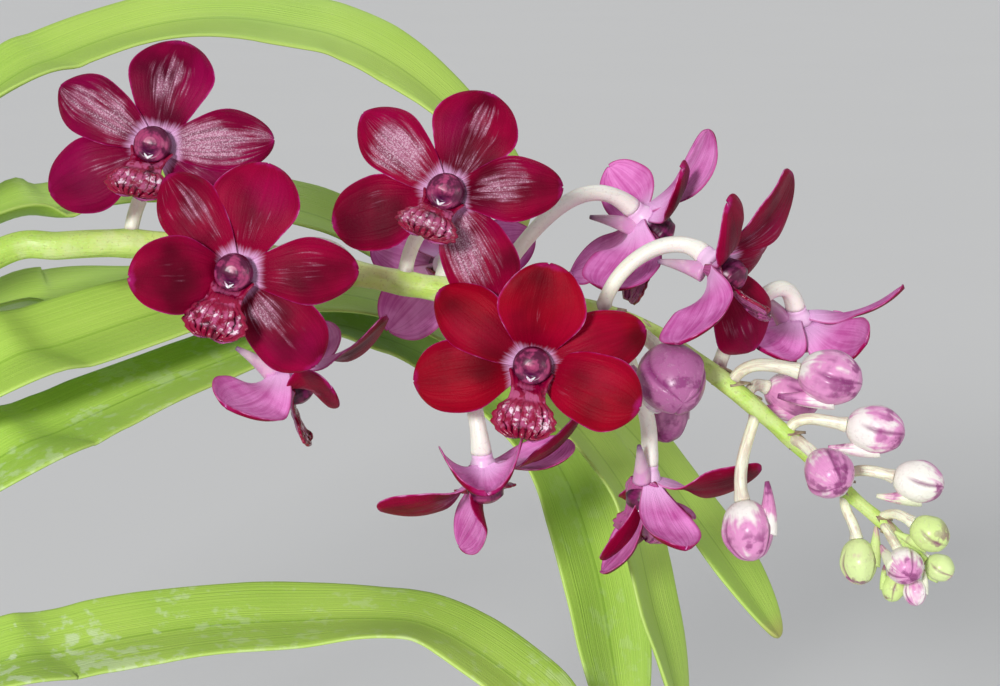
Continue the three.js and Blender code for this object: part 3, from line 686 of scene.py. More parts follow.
@dataclass(frozen=True)
class TepalFinish(Finish):
    """Petals and sepals: velvety in front, lilac behind, with a thin margin and a white-pink base."""

    name: str = "tepal"
    deep: Colour = (0.085, 0.0, 0.01)
    bright: Colour = (0.27, 0.0, 0.03)
    glow: Colour = (0.34, 0.0, 0.07)
    # The next two colours are painted highlights: a soft silvery sheen and bright glints, as light makes on
    # the face.
    veil: Colour = (0.42, 0.16, 0.26)
    silver: Colour = (0.85, 0.64, 0.76)
    halo: Colour = (0.88, 0.5, 0.84)
    margin: Colour = (0.4, 0.01, 0.15)
    behind: Colour = (0.5, 0.06, 0.31)
    behind_pale: Colour = (0.82, 0.28, 0.66)
    gloss = Gloss(roughness=0.4, specular=0.06)

    def front(self, graph: Graph, glisten: bpy.types.Node, veins: bpy.types.Node, depth: Socket) -> Socket:
        """Makes the face: a velvety ground painted darker down its middle as shade, dark veins, painted
        silvery sheen with glints, a pale base and a thin margin.
        """
        across, along, _ = graph.spot()
        outward = graph.math("ABSOLUTE", across)
        strength = graph.total(0.15, graph.product(glisten.outputs["Veil"], 0.45))
        lines = graph.product(veins.outputs["Lines"], strength)
        # Painted shade: depth darkens the middle of each tepal, on top of the velvet's own uneven tone.
        colour = graph.mix(graph.between(depth, 0.36, 0.78), self.deep, self.bright)
        rosy = graph.between(graph.noise(graph.object_place(), 60.0, 1.0), 0.48, 0.72, 0.0, 0.5)
        colour = graph.mix(rosy, colour, self.glow)
        # Painted highlight: soft patches of silvery sheen here, and bright painted glints two lines down.
        colour = graph.mix(graph.product(glisten.outputs["Veil"], 0.85), colour, self.veil)
        colour = graph.mix(lines, colour, self.deep)
        colour = graph.mix(graph.product(glisten.outputs["Specks"], 0.42), colour, self.silver)
        reach = graph.total(along, graph.product(veins.outputs["Height"], -0.12))
        colour = graph.mix(graph.between(reach, 0.13, 0.0, 0.0, 0.9), colour, self.halo)
        ragged = graph.product(graph.noise(graph.object_place(), 420.0, 2.0), 0.09)
        rim = graph.total(graph.math("MAXIMUM", outward, graph.product(along, 0.985)), ragged)
        colour = graph.mix(graph.between(rim, 0.98, 1.04, 0.0, 0.7), colour, self.margin)
        return graph.mix(graph.between(rim, 1.03, 1.06, 0.0, 0.5), colour, self.halo)

    def back(self, graph: Graph, veins: bpy.types.Node, blots: Socket) -> Socket:
        """Makes the back: lilac with darker veins and blots, paler along its keel and at its base."""
        across, along, _ = graph.spot()
        outward = graph.math("ABSOLUTE", across)
        cloud = graph.between(graph.noise(graph.object_place(), 130.0, 3.0), 0.35, 0.68)
        worn = graph.total(graph.product(veins.outputs["Lines"], 0.3), graph.product(cloud, 0.6))
        colour = graph.mix(worn, self.behind_pale, self.behind)
        colour = graph.mix(graph.product(blots, 0.2), colour, self.behind)
        colour = graph.mix(graph.between(outward, 0.07, 0.0, 0.0, 0.5), colour, self.behind)
        colour = graph.mix(graph.between(along, 0.42, 0.04, 0.0, 0.9), colour, self.halo)
        return graph.mix(graph.between(outward, 0.9, 1.0, 0.0, 0.7), colour, self.margin)

    def dress(self, graph: Graph) -> dict[str, Value]:
        """Makes front and back and mixes them by the side that is seen."""
        place = graph.object_place()
        across, along, side = graph.spot()
        tone = graph.tone()
        amount = graph.own(Mark.ACCENT)
        # The sheen patches and glints that this places are painted highlights.
        glisten = PaintedSheen.place(graph, Place=place, Amount=amount, Across=across, Along=along, Tone=tone)
        veins = Veins.place(graph, Across=across, Along=along, Count=11.0, Tone=tone)
        freckles = Freckles.place(graph, Place=place, Amount=0.5)
        # Painted shade: this lifts the sides, so each tepal is painted darker down its middle; the noise and
        # tone are its own uneven colour.
        outer = graph.product(graph.math("POWER", graph.math("ABSOLUTE", across), 2.0), 0.2)
        depth = graph.total(graph.noise(place, 80.0, 2.0), graph.product(tone, 0.1), outer)
        front = self.front(graph, glisten, veins, depth)
        back = self.back(graph, veins, freckles.outputs["Blots"])
        colour = graph.mix(graph.between(side, -0.12, 0.06), back, front)
        height = graph.total(glisten.outputs["Height"], graph.product(veins.outputs["Height"], 2.0))
        rough = graph.between(glisten.outputs["Specks"], 0.0, 1.0, 0.42, 0.25)
        return {"Base Color": colour, "Roughness": rough, "Normal": graph.bump(height, 0.00017, 0.6)}


LIP_RIDGES = 8.5


@dataclass(frozen=True)
class LipFinish(Finish):
    """The lip: glossy crimson, a fan of pale ridges with painted glints between dark furrows, and a mottled
    saddle.
    """

    name: str = "lip"
    dark: Colour = (0.05, 0.0, 0.01)
    bright: Colour = (0.27, 0.0, 0.035)
    pale: Colour = (0.5, 0.1, 0.24)
    # A painted highlight colour for glints on the ridges.
    painted_glint: Colour = (0.9, 0.72, 0.82)
    behind: Colour = (0.42, 0.08, 0.26)
    gloss = Gloss(roughness=0.27, specular=0.45, coat=0.25, coat_roughness=0.15)

    def dress(self, graph: Graph) -> dict[str, Value]:
        """Makes the ridges pale with painted glints, and the furrows and the rim dark."""
        place = graph.object_place()
        across, along, side = graph.spot()
        outward = graph.math("ABSOLUTE", across)
        mottle = graph.noise(place, 900.0, 3.0)
        ridge = graph.math("COSINE", graph.product(across, LIP_RIDGES * math.pi))
        fan = graph.between(along, 0.56, 0.7)
        inside = graph.product(graph.between(outward, 0.92, 0.78), graph.between(along, 0.93, 0.86))
        patch = graph.between(graph.noise(place, 380.0, 3.0, 0.65), 0.36, 0.54)
        pale = graph.product(graph.between(ridge, -0.9, 0.2), fan, inside, patch)
        furrow = graph.product(graph.between(ridge, -0.6, -0.95), fan, inside)
        saddle = graph.product(graph.between(along, 0.6, 0.5), graph.between(along, 0.26, 0.36))
        plates = graph.product(graph.between(graph.noise(place, 420.0, 2.0), 0.47, 0.55), saddle)
        colour = graph.mix(graph.between(graph.noise(place, 320.0, 3.0), 0.3, 0.5), self.dark, self.bright)
        colour = graph.mix(graph.product(plates, 0.75), colour, self.pale)
        colour = graph.mix(graph.product(pale, 0.9), colour, self.pale)
        # Painted highlight: glints on the pale ridges.
        colour = graph.mix(graph.product(pale, graph.between(mottle, 0.53, 0.62), 0.95), colour, self.painted_glint)
        colour = graph.mix(graph.product(furrow, 0.75), colour, self.dark)
        colour = graph.mix(graph.between(side, 0.0, 0.2), colour, self.behind)
        height = graph.total(graph.product(graph.noise(place, 1100.0, 3.0), 0.6), graph.product(ridge, 0.35))
        return {"Base Color": colour, "Normal": graph.bump(height, 0.00025, 0.7)}


@dataclass(frozen=True)
class ColumnFinish(Finish):
    """The column: a purple ball with a rosy cap, fine rings, a pale foot and painted shade in its hollow."""

    name: str = "column"
    dark: Colour = (0.045, 0.001, 0.022)
    mauve: Colour = (0.2, 0.015, 0.1)
    rosy: Colour = (0.4, 0.05, 0.15)
    pale: Colour = (0.84, 0.56, 0.8)
    # A painted shade colour for the hollow under the cap.
    hollow_shade: Colour = (0.07, 0.0, 0.045)
    gloss = Gloss(roughness=0.33, specular=0.4)

    def dress(self, graph: Graph) -> dict[str, Value]:
        """Makes rings round the cap, paints shade into the hollow and pales the foot."""
        place = graph.object_place()
        _, along, _ = graph.spot()
        mottle = graph.noise(place, 420.0, 3.0)
        rings = graph.math("SINE", graph.product(graph.total(along, graph.product(mottle, 0.06)), 120.0))
        colour = graph.mix(graph.between(mottle, 0.4, 0.68), self.dark, self.mauve)
        cap = graph.product(graph.between(along, 0.66, 0.8), graph.between(mottle, 0.44, 0.6, 0.15, 0.85))
        colour = graph.mix(cap, colour, self.rosy)
        colour = graph.mix(graph.between(rings, 0.3, 1.0, 0.0, 0.25), colour, self.dark)
        # Painted shade: darkens the hollow under the cap by its depth.
        colour = graph.mix(graph.own(Mark.ACCENT), colour, self.hollow_shade)
        colour = graph.mix(graph.between(along, 0.42, 0.3), colour, self.pale)
        height = graph.total(graph.product(mottle, 0.5), graph.product(rings, 0.08))
        return {"Base Color": colour, "Normal": graph.bump(height, 0.0001, 0.5)}


@dataclass(frozen=True)
class SpurFinish(Finish):
    """A spur: pale mauve with a grey-purple tip."""

    name: str = "spur"
    mauve: Colour = (0.66, 0.3, 0.55)
    grey: Colour = (0.46, 0.33, 0.4)
    blot: Colour = (0.74, 0.6, 0.62)
    tip: Colour = (0.2, 0.1, 0.2)
    gloss = Gloss(roughness=0.4, subsurface=0.05)

    def dress(self, graph: Graph) -> dict[str, Value]:
        """Darkens towards the tip."""
        place = graph.object_place()
        _, along, _ = graph.spot()
        freckles = Freckles.place(graph, Place=place, Amount=0.45)
        colour = graph.mix(graph.between(along, 0.1, 0.8), self.mauve, self.grey)
        colour = graph.mix(graph.product(freckles.outputs["Blots"], 0.45), colour, self.blot)
        colour = graph.mix(graph.between(along, 0.8, 1.0), colour, self.tip)
        return {"Base Color": colour, "Normal": graph.bump(freckles.outputs["Blots"], 0.0001, 0.5)}


@dataclass(frozen=True)
class PointFinish(Finish):
    """The small white tip under the column's cap."""

    name: str = "column_tip"
    white: Colour = (0.88, 0.84, 0.86)
    mauve: Colour = (0.6, 0.25, 0.45)
    gloss = Gloss(roughness=0.25, coat=0.3, subsurface=0.1)

    def dress(self, graph: Graph) -> dict[str, Value]:
        """Makes it white with a mauve cast in places."""
        cloud = graph.noise(graph.object_place(), 1500.0, 2.0)
        return {"Base Color": graph.mix(graph.between(cloud, 0.5, 0.7), self.white, self.mauve)}


@dataclass(frozen=True)
class LeafFinish(Finish):
    """Strap leaves: yellow-green with fine parallel veins, and chalky marks where tone is high."""

    name: str = "leaf_skin"
    light: Colour = (0.48, 0.69, 0.12)
    dark: Colour = (0.24, 0.46, 0.045)
    chalk: Colour = (0.7, 0.8, 0.58)
    band: Colour = (0.48, 0.66, 0.13)
    midrib: Colour = (0.2, 0.38, 0.03)
    margin: Colour = (0.5, 0.65, 0.2)
    tip: Colour = (0.5, 0.4, 0.14)
    under: Colour = (0.3, 0.46, 0.09)
    fleck: Colour = (0.55, 0.62, 0.25)
    gloss = Gloss(roughness=0.38, specular=0.2)

    def dress(self, graph: Graph) -> dict[str, Value]:
        """Draws the veins along the blade, with a clear midrib and a paler margin."""
        place = graph.object_place()
        across, along, side = graph.spot()
        tone = graph.tone()
        outward = graph.math("ABSOLUTE", across)
        veins = Veins.place(graph, Across=across, Along=along, Count=34.0, Tone=tone)
        broad = Veins.place(graph, Across=across, Along=along, Count=6.0, Tone=tone)
        freckles = Freckles.place(graph, Place=place, Amount=0.45)
        cloud = graph.noise(place, 22.0, 2.0)
        colour = graph.mix(graph.between(cloud, 0.3, 0.75, 0.0, 0.45), self.light, self.dark)
        colour = graph.mix(graph.product(veins.outputs["Lines"], 0.14), colour, self.dark)
        colour = graph.mix(graph.product(broad.outputs["Lines"], 0.16), colour, self.band)
        colour = graph.mix(graph.between(outward, 0.05, 0.0, 0.0, 0.55), colour, self.midrib)
        colour = graph.mix(graph.between(outward, 0.95, 1.0, 0.0, 0.5), colour, self.margin)
        colour = graph.mix(graph.between(along, 0.975, 1.0, 0.0, 0.6), colour, self.tip)
        colour = graph.mix(graph.between(side, 0.0, -0.3, 0.0, 0.4), colour, self.under)
        fine = graph.noise(place, 800.0, 3.0, 0.7)
        wash = graph.total(
            graph.product(graph.noise(place, 60.0, 3.0), 0.45),
            graph.product(graph.noise(place, 330.0, 3.0), 0.55),
        )
        lower = graph.between(along, 0.6, 0.25, 0.35, 1.0)
        mark_share = graph.product(graph.between(wash, 0.52, 0.6), tone, lower)
        colour = graph.mix(mark_share, colour, self.chalk)
        colour = graph.mix(graph.product(freckles.outputs["Flecks"], 0.18), colour, self.fleck)
        height = graph.total(veins.outputs["Height"], graph.product(fine, 0.25))
        rough = graph.between(mark_share, 0.0, 0.6, 0.36, 0.7)
        return {"Base Color": colour, "Roughness": rough, "Normal": graph.bump(height, 0.00035, 0.55)}


@dataclass(frozen=True)
class StalkFinish(Finish):
    """The flower stalk: lime green, mottled with cream, olive and brown."""

    name: str = "stalk_skin"
    green: Colour = (0.44, 0.66, 0.1)
    lime: Colour = (0.58, 0.76, 0.2)
    cream: Colour = (0.66, 0.7, 0.4)
    olive: Colour = (0.3, 0.3, 0.1)
    brown: Colour = (0.4, 0.3, 0.14)
    gloss = Gloss(roughness=0.42, subsurface=0.08)

    def dress(self, graph: Graph) -> dict[str, Value]:
        """Mixes green, cream and brown by soft blots."""
        place = graph.object_place()
        across, along, _ = graph.spot()
        freckles = Freckles.place(graph, Place=place, Amount=0.5)
        veins = Veins.place(graph, Across=across, Along=graph.product(along, 20.0), Count=7.0, Tone=0.3)
        cloud = graph.noise(place, 60.0, 3.0)
        colour = graph.mix(graph.between(cloud, 0.35, 0.65), self.green, self.lime)
        colour = graph.mix(graph.product(freckles.outputs["Blots"], 0.35), colour, self.cream)
        colour = graph.mix(graph.product(freckles.outputs["Flecks"], 0.35), colour, self.olive)
        colour = graph.mix(graph.product(graph.between(cloud, 0.56, 0.7), 0.3), colour, self.brown)
        height = graph.total(veins.outputs["Height"], graph.noise(place, 700.0, 3.0))
        return {"Base Color": colour, "Normal": graph.bump(height, 0.0003, 0.6)}


@dataclass(frozen=True)
class PedicelFinish(Finish):
    """A pedicel: cream, greener towards its purple-brown foot. A higher tone is greener and more stained."""

    name: str = "pedicel"
    cream: Colour = (0.93, 0.92, 0.83)
    green: Colour = (0.68, 0.7, 0.34)
    stain: Colour = (0.4, 0.2, 0.2)
    fleck: Colour = (0.5, 0.35, 0.3)
    foot: Colour = (0.2, 0.085, 0.1)
    gloss = Gloss(roughness=0.38, subsurface=0.12)

    def dress(self, graph: Graph) -> dict[str, Value]:
        """Runs the colours along the pedicel."""
        place = graph.object_place()
        across, along, _ = graph.spot()
        tone = graph.tone()
        freckles = Freckles.place(graph, Place=place, Amount=0.5)
        lines = Veins.place(graph, Across=across, Along=graph.product(along, 2.0), Count=4.0, Tone=tone)
        green = graph.total(graph.between(along, 0.7, 0.2, 0.0, 0.2), graph.product(tone, 0.4))
        colour = graph.mix(green, self.cream, self.green)
        stain = graph.product(lines.outputs["Lines"], tone, 0.5)
        colour = graph.mix(stain, colour, self.stain)
        colour = graph.mix(graph.product(freckles.outputs["Flecks"], 0.2), colour, self.fleck)
        foot = graph.total(along, graph.product(graph.noise(place, 400.0, 2.0), 0.1))
        colour = graph.mix(graph.between(foot, 0.2, 0.07), colour, self.foot)
        return {"Base Color": colour, "Normal": graph.bump(lines.outputs["Height"], 0.0003, 0.5)}


@dataclass(frozen=True)
class PaperFinish(Finish):
    """A dry papery scale: straw and brown with fine lines."""

    name: str = "bract"
    straw: Colour = (0.4, 0.34, 0.18)
    brown: Colour = (0.2, 0.1, 0.09)
    line: Colour = (0.62, 0.58, 0.36)
    gloss = Gloss(roughness=0.65)

    def dress(self, graph: Graph) -> dict[str, Value]:
        """Mixes straw and brown along fine lines."""
        across, along, _ = graph.spot()
        lines = Veins.place(graph, Across=across, Along=along, Count=8.0, Tone=graph.tone())
        cloud = graph.noise(graph.object_place(), 420.0, 3.0)
        colour = graph.mix(graph.between(cloud, 0.35, 0.65), self.straw, self.brown)
        colour = graph.mix(graph.product(lines.outputs["Lines"], 0.4), colour, self.line)
        return {"Base Color": colour, "Normal": graph.bump(lines.outputs["Height"], 0.0003, 0.8)}


@dataclass(frozen=True)
class BudFinish(Finish):
    """A bud: mauve over cream and green, purple along its seams. Tone is its ripeness, from 0 to 1."""

    name: str = "bud_skin"
    green: Colour = (0.62, 0.78, 0.28)
    cream: Colour = (0.9, 0.86, 0.82)
    mauve: Colour = (0.68, 0.21, 0.5)
    purple: Colour = (0.2, 0.015, 0.13)
    fleck: Colour = (0.84, 0.68, 0.78)
    gloss = Gloss(roughness=0.33, specular=0.35, coat=0.12)

    def dress(self, graph: Graph) -> dict[str, Value]:
        """Spreads the mauve from the tip and along streaks, and the purple where it is thickest."""
        place = graph.object_place()
        across, along, _ = graph.spot()
        tone = graph.tone()
        freckles = Freckles.place(graph, Place=place, Amount=0.5)
        lines = Veins.place(graph, Across=across, Along=along, Count=6.0, Tone=tone)
        ground = graph.mix(graph.between(tone, 0.08, 0.4), self.green, self.cream)
        worth = graph.total(
            graph.product(along, 0.36),
            graph.product(lines.outputs["Height"], 0.45),
            graph.product(graph.noise(place, 150.0, 3.0), 1.05),
            graph.product(tone, 0.6),
        )
        colour = graph.mix(graph.between(worth, 1.12, 1.32, 0.0, 0.9), ground, self.mauve)
        colour = graph.mix(graph.between(worth, 1.34, 1.56, 0.0, 0.6), colour, self.purple)
        blotch = graph.product(
            graph.between(graph.noise(place, 300.0, 3.0), 0.52, 0.62), graph.between(along, 0.35, 0.8),
        )
        colour = graph.mix(graph.product(blotch, 0.7), colour, self.purple)
        seam = graph.product(graph.own(Mark.ACCENT), graph.between(worth, 0.8, 1.1), 0.8)
        colour = graph.mix(seam, colour, self.purple)
        colour = graph.mix(graph.product(freckles.outputs["Flecks"], 0.08), colour, self.fleck)
        height = graph.total(lines.outputs["Height"], freckles.outputs["Flecks"])
        return {"Base Color": colour, "Normal": graph.bump(height, 0.00018, 0.5)}


@dataclass(frozen=True)
class StemFinish(Finish):
    """The stem and its sheaths: green, drier and straw-coloured lower down."""

    name: str = "stem_skin"
    dark: Colour = (0.2, 0.36, 0.05)
    light: Colour = (0.42, 0.52, 0.14)
    straw: Colour = (0.4, 0.3, 0.16)
    fleck: Colour = (0.22, 0.16, 0.07)
    line: Colour = (0.52, 0.56, 0.3)
    gloss = Gloss(roughness=0.5)

    def dress(self, graph: Graph) -> dict[str, Value]:
        """Draws lines along the sheath and dries it towards the foot."""
        place = graph.object_place()
        across, along, _ = graph.spot()
        low = graph.between(graph.height(), 0.24, 0.14)
        lines = Veins.place(graph, Across=across, Along=along, Count=12.0, Tone=graph.tone())
        blots = Freckles.place(graph, Place=place, Amount=0.45)
        colour = graph.mix(graph.noise(place, 70.0, 3.0), self.dark, self.light)
        dry = graph.product(low, graph.total(graph.noise(place, 55.0, 3.0), 0.25))
        colour = graph.mix(dry, colour, self.straw)
        colour = graph.mix(graph.product(blots.outputs["Flecks"], 0.4), colour, self.fleck)
        colour = graph.mix(graph.product(lines.outputs["Lines"], 0.3), colour, self.line)
        return {"Base Color": colour, "Normal": graph.bump(lines.outputs["Height"], 0.0005, 0.7)}


@dataclass(frozen=True)
class RootFinish(Finish):
    """Roots: a chalky silver-green skin that is fresh green at the growing tip."""

    name: str = "root"
    silver: Colour = (0.62, 0.64, 0.55)
    green: Colour = (0.4, 0.46, 0.3)
    fleck: Colour = (0.35, 0.27, 0.18)
    tip: Colour = (0.3, 0.45, 0.1)
    gloss = Gloss(roughness=0.7)

    def dress(self, graph: Graph) -> dict[str, Value]:
        """Mixes silver, grey-green and brown specks, and greens the tip."""
        place = graph.object_place()
        _, along, _ = graph.spot()
        specks = Freckles.place(graph, Place=place, Amount=0.5)
        cloud = graph.noise(place, 160.0, 4.0)
        colour = graph.mix(graph.between(cloud, 0.35, 0.65), self.silver, self.green)
        colour = graph.mix(graph.product(specks.outputs["Flecks"], 0.5), colour, self.fleck)
        colour = graph.mix(graph.between(along, 0.93, 0.97), colour, self.tip)
        return {"Base Color": colour, "Normal": graph.bump(graph.noise(place, 900.0, 4.0), 0.0005, 0.8)}


@dataclass(frozen=True)
class BarkFinish(Finish):
    """Bark chips: layered red-brown, paler where they are weathered."""

    name: str = "bark_skin"
    dark: Colour = (0.1, 0.045, 0.022)
    brown: Colour = (0.32, 0.17, 0.085)
    worn: Colour = (0.42, 0.29, 0.19)
    fleck: Colour = (0.05, 0.03, 0.02)
    stretch: Point = (0.35, 0.35, 1.6)
    gloss = Gloss(roughness=0.85)

    def dress(self, graph: Graph) -> dict[str, Value]:
        """Layers brown bands, pale worn patches and dark flecks."""
        place = graph.object_place()
        bend = graph.noise(place, 120.0, 4.0)
        mapped = graph.node("ShaderNodeVectorMath", operation="MULTIPLY")
        graph.feed(mapped.inputs[0], place)
        mapped.inputs[1].default_value = self.stretch
        layers = graph.noise(mapped.outputs[0], 420.0, 4.0, 0.65)
        grain = graph.noise(place, 1300.0, 4.0, 0.7)
        blots = Freckles.place(graph, Place=place, Amount=0.5)
        colour = graph.mix(graph.between(layers, 0.35, 0.65), self.dark, self.brown)
        colour = graph.mix(graph.between(bend, 0.5, 0.7, 0.0, 0.6), colour, self.worn)
        colour = graph.mix(graph.product(blots.outputs["Flecks"], 0.5), colour, self.fleck)
        height = graph.total(graph.product(layers, 1.2), graph.product(grain, 0.6))
        return {"Base Color": colour, "Normal": graph.bump(height, 0.0012, 0.9)}


@dataclass(frozen=True)
class GlazeFinish(Finish):
    """A cream glaze with fine iron specks, thinner and warmer at the rim, bare clay at the foot."""

    name: str = "glaze"
    cream: Colour = (0.74, 0.7, 0.6)
    pale: Colour = (0.82, 0.8, 0.74)
    speck: Colour = (0.24, 0.15, 0.09)
    rim: Colour = (0.45, 0.3, 0.17)
    clay: Colour = (0.46, 0.33, 0.23)
    gloss = Gloss(roughness=0.16, specular=0.5, coat=0.5, coat_roughness=0.08)

    def dress(self, graph: Graph) -> dict[str, Value]:
        """Clouds the glaze, breaks it at the rim and ends it above the foot."""
        place = graph.object_place()
        height = graph.height()
        cloud = graph.noise(place, 26.0, 3.0)
        colour = graph.mix(graph.between(cloud, 0.3, 0.7), self.cream, self.pale)
        speck = graph.noise(place, 620.0, 2.0, 0.5)
        colour = graph.mix(graph.between(speck, 0.7, 0.76, 0.0, 0.75), colour, self.speck)
        rim = graph.total(height, graph.product(cloud, 0.003))
        colour = graph.mix(graph.between(rim, 0.1485, 0.1515, 0.0, 0.55), colour, self.rim)
        line = graph.total(height, graph.product(graph.noise(place, 40.0, 2.0), 0.0016))
        clay = graph.between(line, 0.0052, 0.0046)
        colour = graph.mix(clay, colour, self.clay)
        rough = graph.total(0.14, graph.product(clay, 0.6))
        pits = graph.total(cloud, graph.product(graph.noise(place, 300.0, 2.0), 0.12))
        return {"Base Color": colour, "Roughness": rough, "Normal": graph.bump(pits, 0.0006, 0.25)}


@dataclass(frozen=True)
class FloorFinish(Finish):
    """A plain pale floor."""

    name: str = "floor"
    grey: Colour = (0.79, 0.79, 0.78)
    pale: Colour = (0.81, 0.81, 0.8)
    gloss = Gloss(roughness=0.7, specular=0.3)

    def dress(self, graph: Graph) -> dict[str, Value]:
        """Keeps a very faint cloud in the grey."""
        cloud = graph.noise(graph.object_place(), 3.0, 2.0)
        return {"Base Color": graph.mix(cloud, self.grey, self.pale)}


def settle(piece: Piece, finish: Finish, slot: Slot, *nodes: str) -> Piece:
    """Dresses a finished piece and ties it to the part.

    Args:
        piece: the piece, in place.
        finish: its material.
        slot: the record's slot; not used.
        nodes: the nodes that it stands for.

    Returns:
        The piece.
    """
    finish.cover(piece)
    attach(piece, "root")
    if nodes:
        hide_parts(*nodes)
    LOG.info("%s: %d faces", piece.name, len(piece.data.polygons))
    return piece


# Vase and bark


@dataclass
class Vase:
    """A plain turned vase with a rolled rim, a hollow inside and a bare foot."""

    sides: int = 96
    foot_radius: float = 41.0
    belly_radius: float = 58.0
    neck_radius: float = 46.0
    rim_radius: float = 50.0
    height: float = 150.0
    wall: float = 5.0
    floor: float = 8.0

    def profile(self) -> Array:
        """Returns radius and height along the wall, from the foot over the rim to the inner floor."""
        outer = [
            (self.foot_radius, 2, 0), (50, 30, 0), (56, 54, 0), (self.belly_radius, 78, 0),
            (56, 102, 0), (50.5, 122, 0), (self.neck_radius, 138, 0), (47, 144, 0),
            (self.rim_radius, self.height - 1.5, 0),
        ]
        inner = [
            (self.rim_radius - 4, self.height, 0), (self.neck_radius - self.wall, 138, 0), (47.5, 120, 0),
            (53, 90, 0), (53, 66, 0), (46, 30, 0), (34, self.floor + 0.4, 0),
        ]
        out, back = Path.through(outer), Path.through(inner)
        wall_out = out.point(np.linspace(0, 1, 34))[:, :2]
        wall_in = back.point(np.linspace(0, 1, 26))[:, :2]
        foot = [(self.foot_radius - 2, 0.0), (self.foot_radius - 0.7, 0.5)]
        rim = [(self.rim_radius - 0.4, self.height - 0.5), (self.rim_radius - 1.5, self.height)]
        return np.vstack([foot, wall_out, rim, wall_in])

    def build(self) -> Piece:
        """Extrudes a circle ring by ring along the profile."""
        profile = self.profile()
        radius, level = profile[0]
        clear_selection()
        bpy.ops.mesh.primitive_circle_add(vertices=self.sides, radius=radius * MM, fill_type="NGON")
        piece = bpy.context.object
        piece.name = piece.data.name = "vase_body"
        bpy.ops.object.mode_set(mode="EDIT")
        bpy.ops.mesh.select_all(action="SELECT")
        bpy.ops.transform.translate(value=(0, 0, level * MM))
        for following, height in profile[1:]:
            bpy.ops.mesh.extrude_edges_move(TRANSFORM_OT_translate={"value": (0, 0, (height - level) * MM)})
            share = following / radius
            bpy.ops.transform.resize(value=(share, share, 1), center_override=(0, 0, height * MM))
            radius, level = following, height
        bpy.ops.mesh.edge_face_add()
        bpy.ops.object.mode_set(mode="OBJECT")
        close_up(piece)
        bpy.ops.object.shade_smooth_by_angle(angle=math.radians(40))
        return piece

    def dress(self) -> None:
        """Glazes the vase."""
        settle(self.build(), GlazeFinish(), Slot.GLAZE, "vase")


@dataclass
class Bark:
    """Loose chips over the bed of bark that fills the vase."""

    chips: int = 120
    length: float = 15.0
    top: float = 127.0
    clear: float = 12.0
    reach: float = 38.0
    spiral: float = 2.4
    kinds: int = 5

    def chip(self, kind: int) -> Piece:
        """Shapes one kind of chip: a block that is subdivided, roughened and bevelled."""
        draw = random.Random(90 + kind)
        clear_selection()
        bpy.ops.mesh.primitive_cube_add(size=1.0)
        piece = bpy.context.object
        bpy.ops.object.mode_set(mode="EDIT")
        bpy.ops.mesh.select_all(action="SELECT")
        long, broad, thick = draw.uniform(0.8, 1.2), draw.uniform(0.5, 0.75), draw.uniform(3.0, 5.0)
        size = (self.length * long, self.length * broad, thick)
        bpy.ops.transform.resize(value=[s * MM for s in size])
        bpy.ops.mesh.bevel(offset=0.9 * MM, segments=1)
        bpy.ops.mesh.subdivide(number_cuts=1)
        bpy.ops.object.mode_set(mode="OBJECT")
        for corner in piece.data.vertices:
            x, y, _ = corner.co / MM
            corner.co.z += MM * (0.5 * math.sin(0.7 * x + kind) + 0.02 * x * x * (-1) ** kind)
            corner.co += Vector([draw.uniform(-0.45, 0.45) * MM for _ in range(3)])
            corner.co.x *= 1 - 0.16 * math.sin(1.3 * y + kind)
        return piece

    def build(self) -> Piece:
        """Scatters copies of the chips, each with its own mesh."""
        draw = random.Random(11)
        kinds = [self.chip(k) for k in range(self.kinds)]
        copies = []
        for k in range(self.chips):
            distance = self.clear + (self.reach - self.clear) * math.sqrt((k + 0.5) / self.chips)
            turn = k * self.spiral
            kind = kinds[k % self.kinds]
            piece = bpy.data.objects.new("chip", kind.data.copy())
            bpy.context.scene.collection.objects.link(piece)
            lean = Matrix.Rotation(draw.uniform(0, math.tau), 4, "Z")
            for axis in "XY":
                lean = lean @ Matrix.Rotation(draw.uniform(-0.4, 0.4), 4, axis)
            level = self.top - 0.08 * distance + draw.uniform(-1.0, 3.2)
            spot = Vector((distance * math.cos(turn), distance * math.sin(turn), level))
            place = Matrix.Translation(spot * MM)
            shrink = Matrix.Scale(draw.uniform(0.6, 1.0), 4)
            piece.data.transform(place @ lean @ shrink)
            copies.append(piece)
        pick(*kinds)
        bpy.ops.object.delete()
        whole = join("bark_chips", copies)
        bpy.ops.object.shade_flat()
        return whole

    def dress(self) -> None:
        """Finishes the bed and the chips."""
        BarkFinish().cover(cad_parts["bark"])
        settle(self.build(), BarkFinish(), Slot.BARK)


# Stem, sheaths and roots

# The height at which each leaf's sheath ends, how far out that is, and the gap between sheath and blade
FLOWER_SIDE = {f"leaf_r{k}": height for k, height in enumerate((312, 293, 275, 257, 234, 200), 1)}
FAR_SIDE = {f"leaf_l{k}": height for k, height in enumerate((303, 284, 266, 246, 217, 184), 1)}
SHEATH_REACH = 13.0
BLADE_GAP = 0.6


def sheath_way(side: int) -> Array:
    """Returns the way that a sheath ends, half up and half out: 1 is the flower side, -1 the far side."""
    return np.array([side * math.sqrt(0.5), 0, math.sqrt(0.5)])


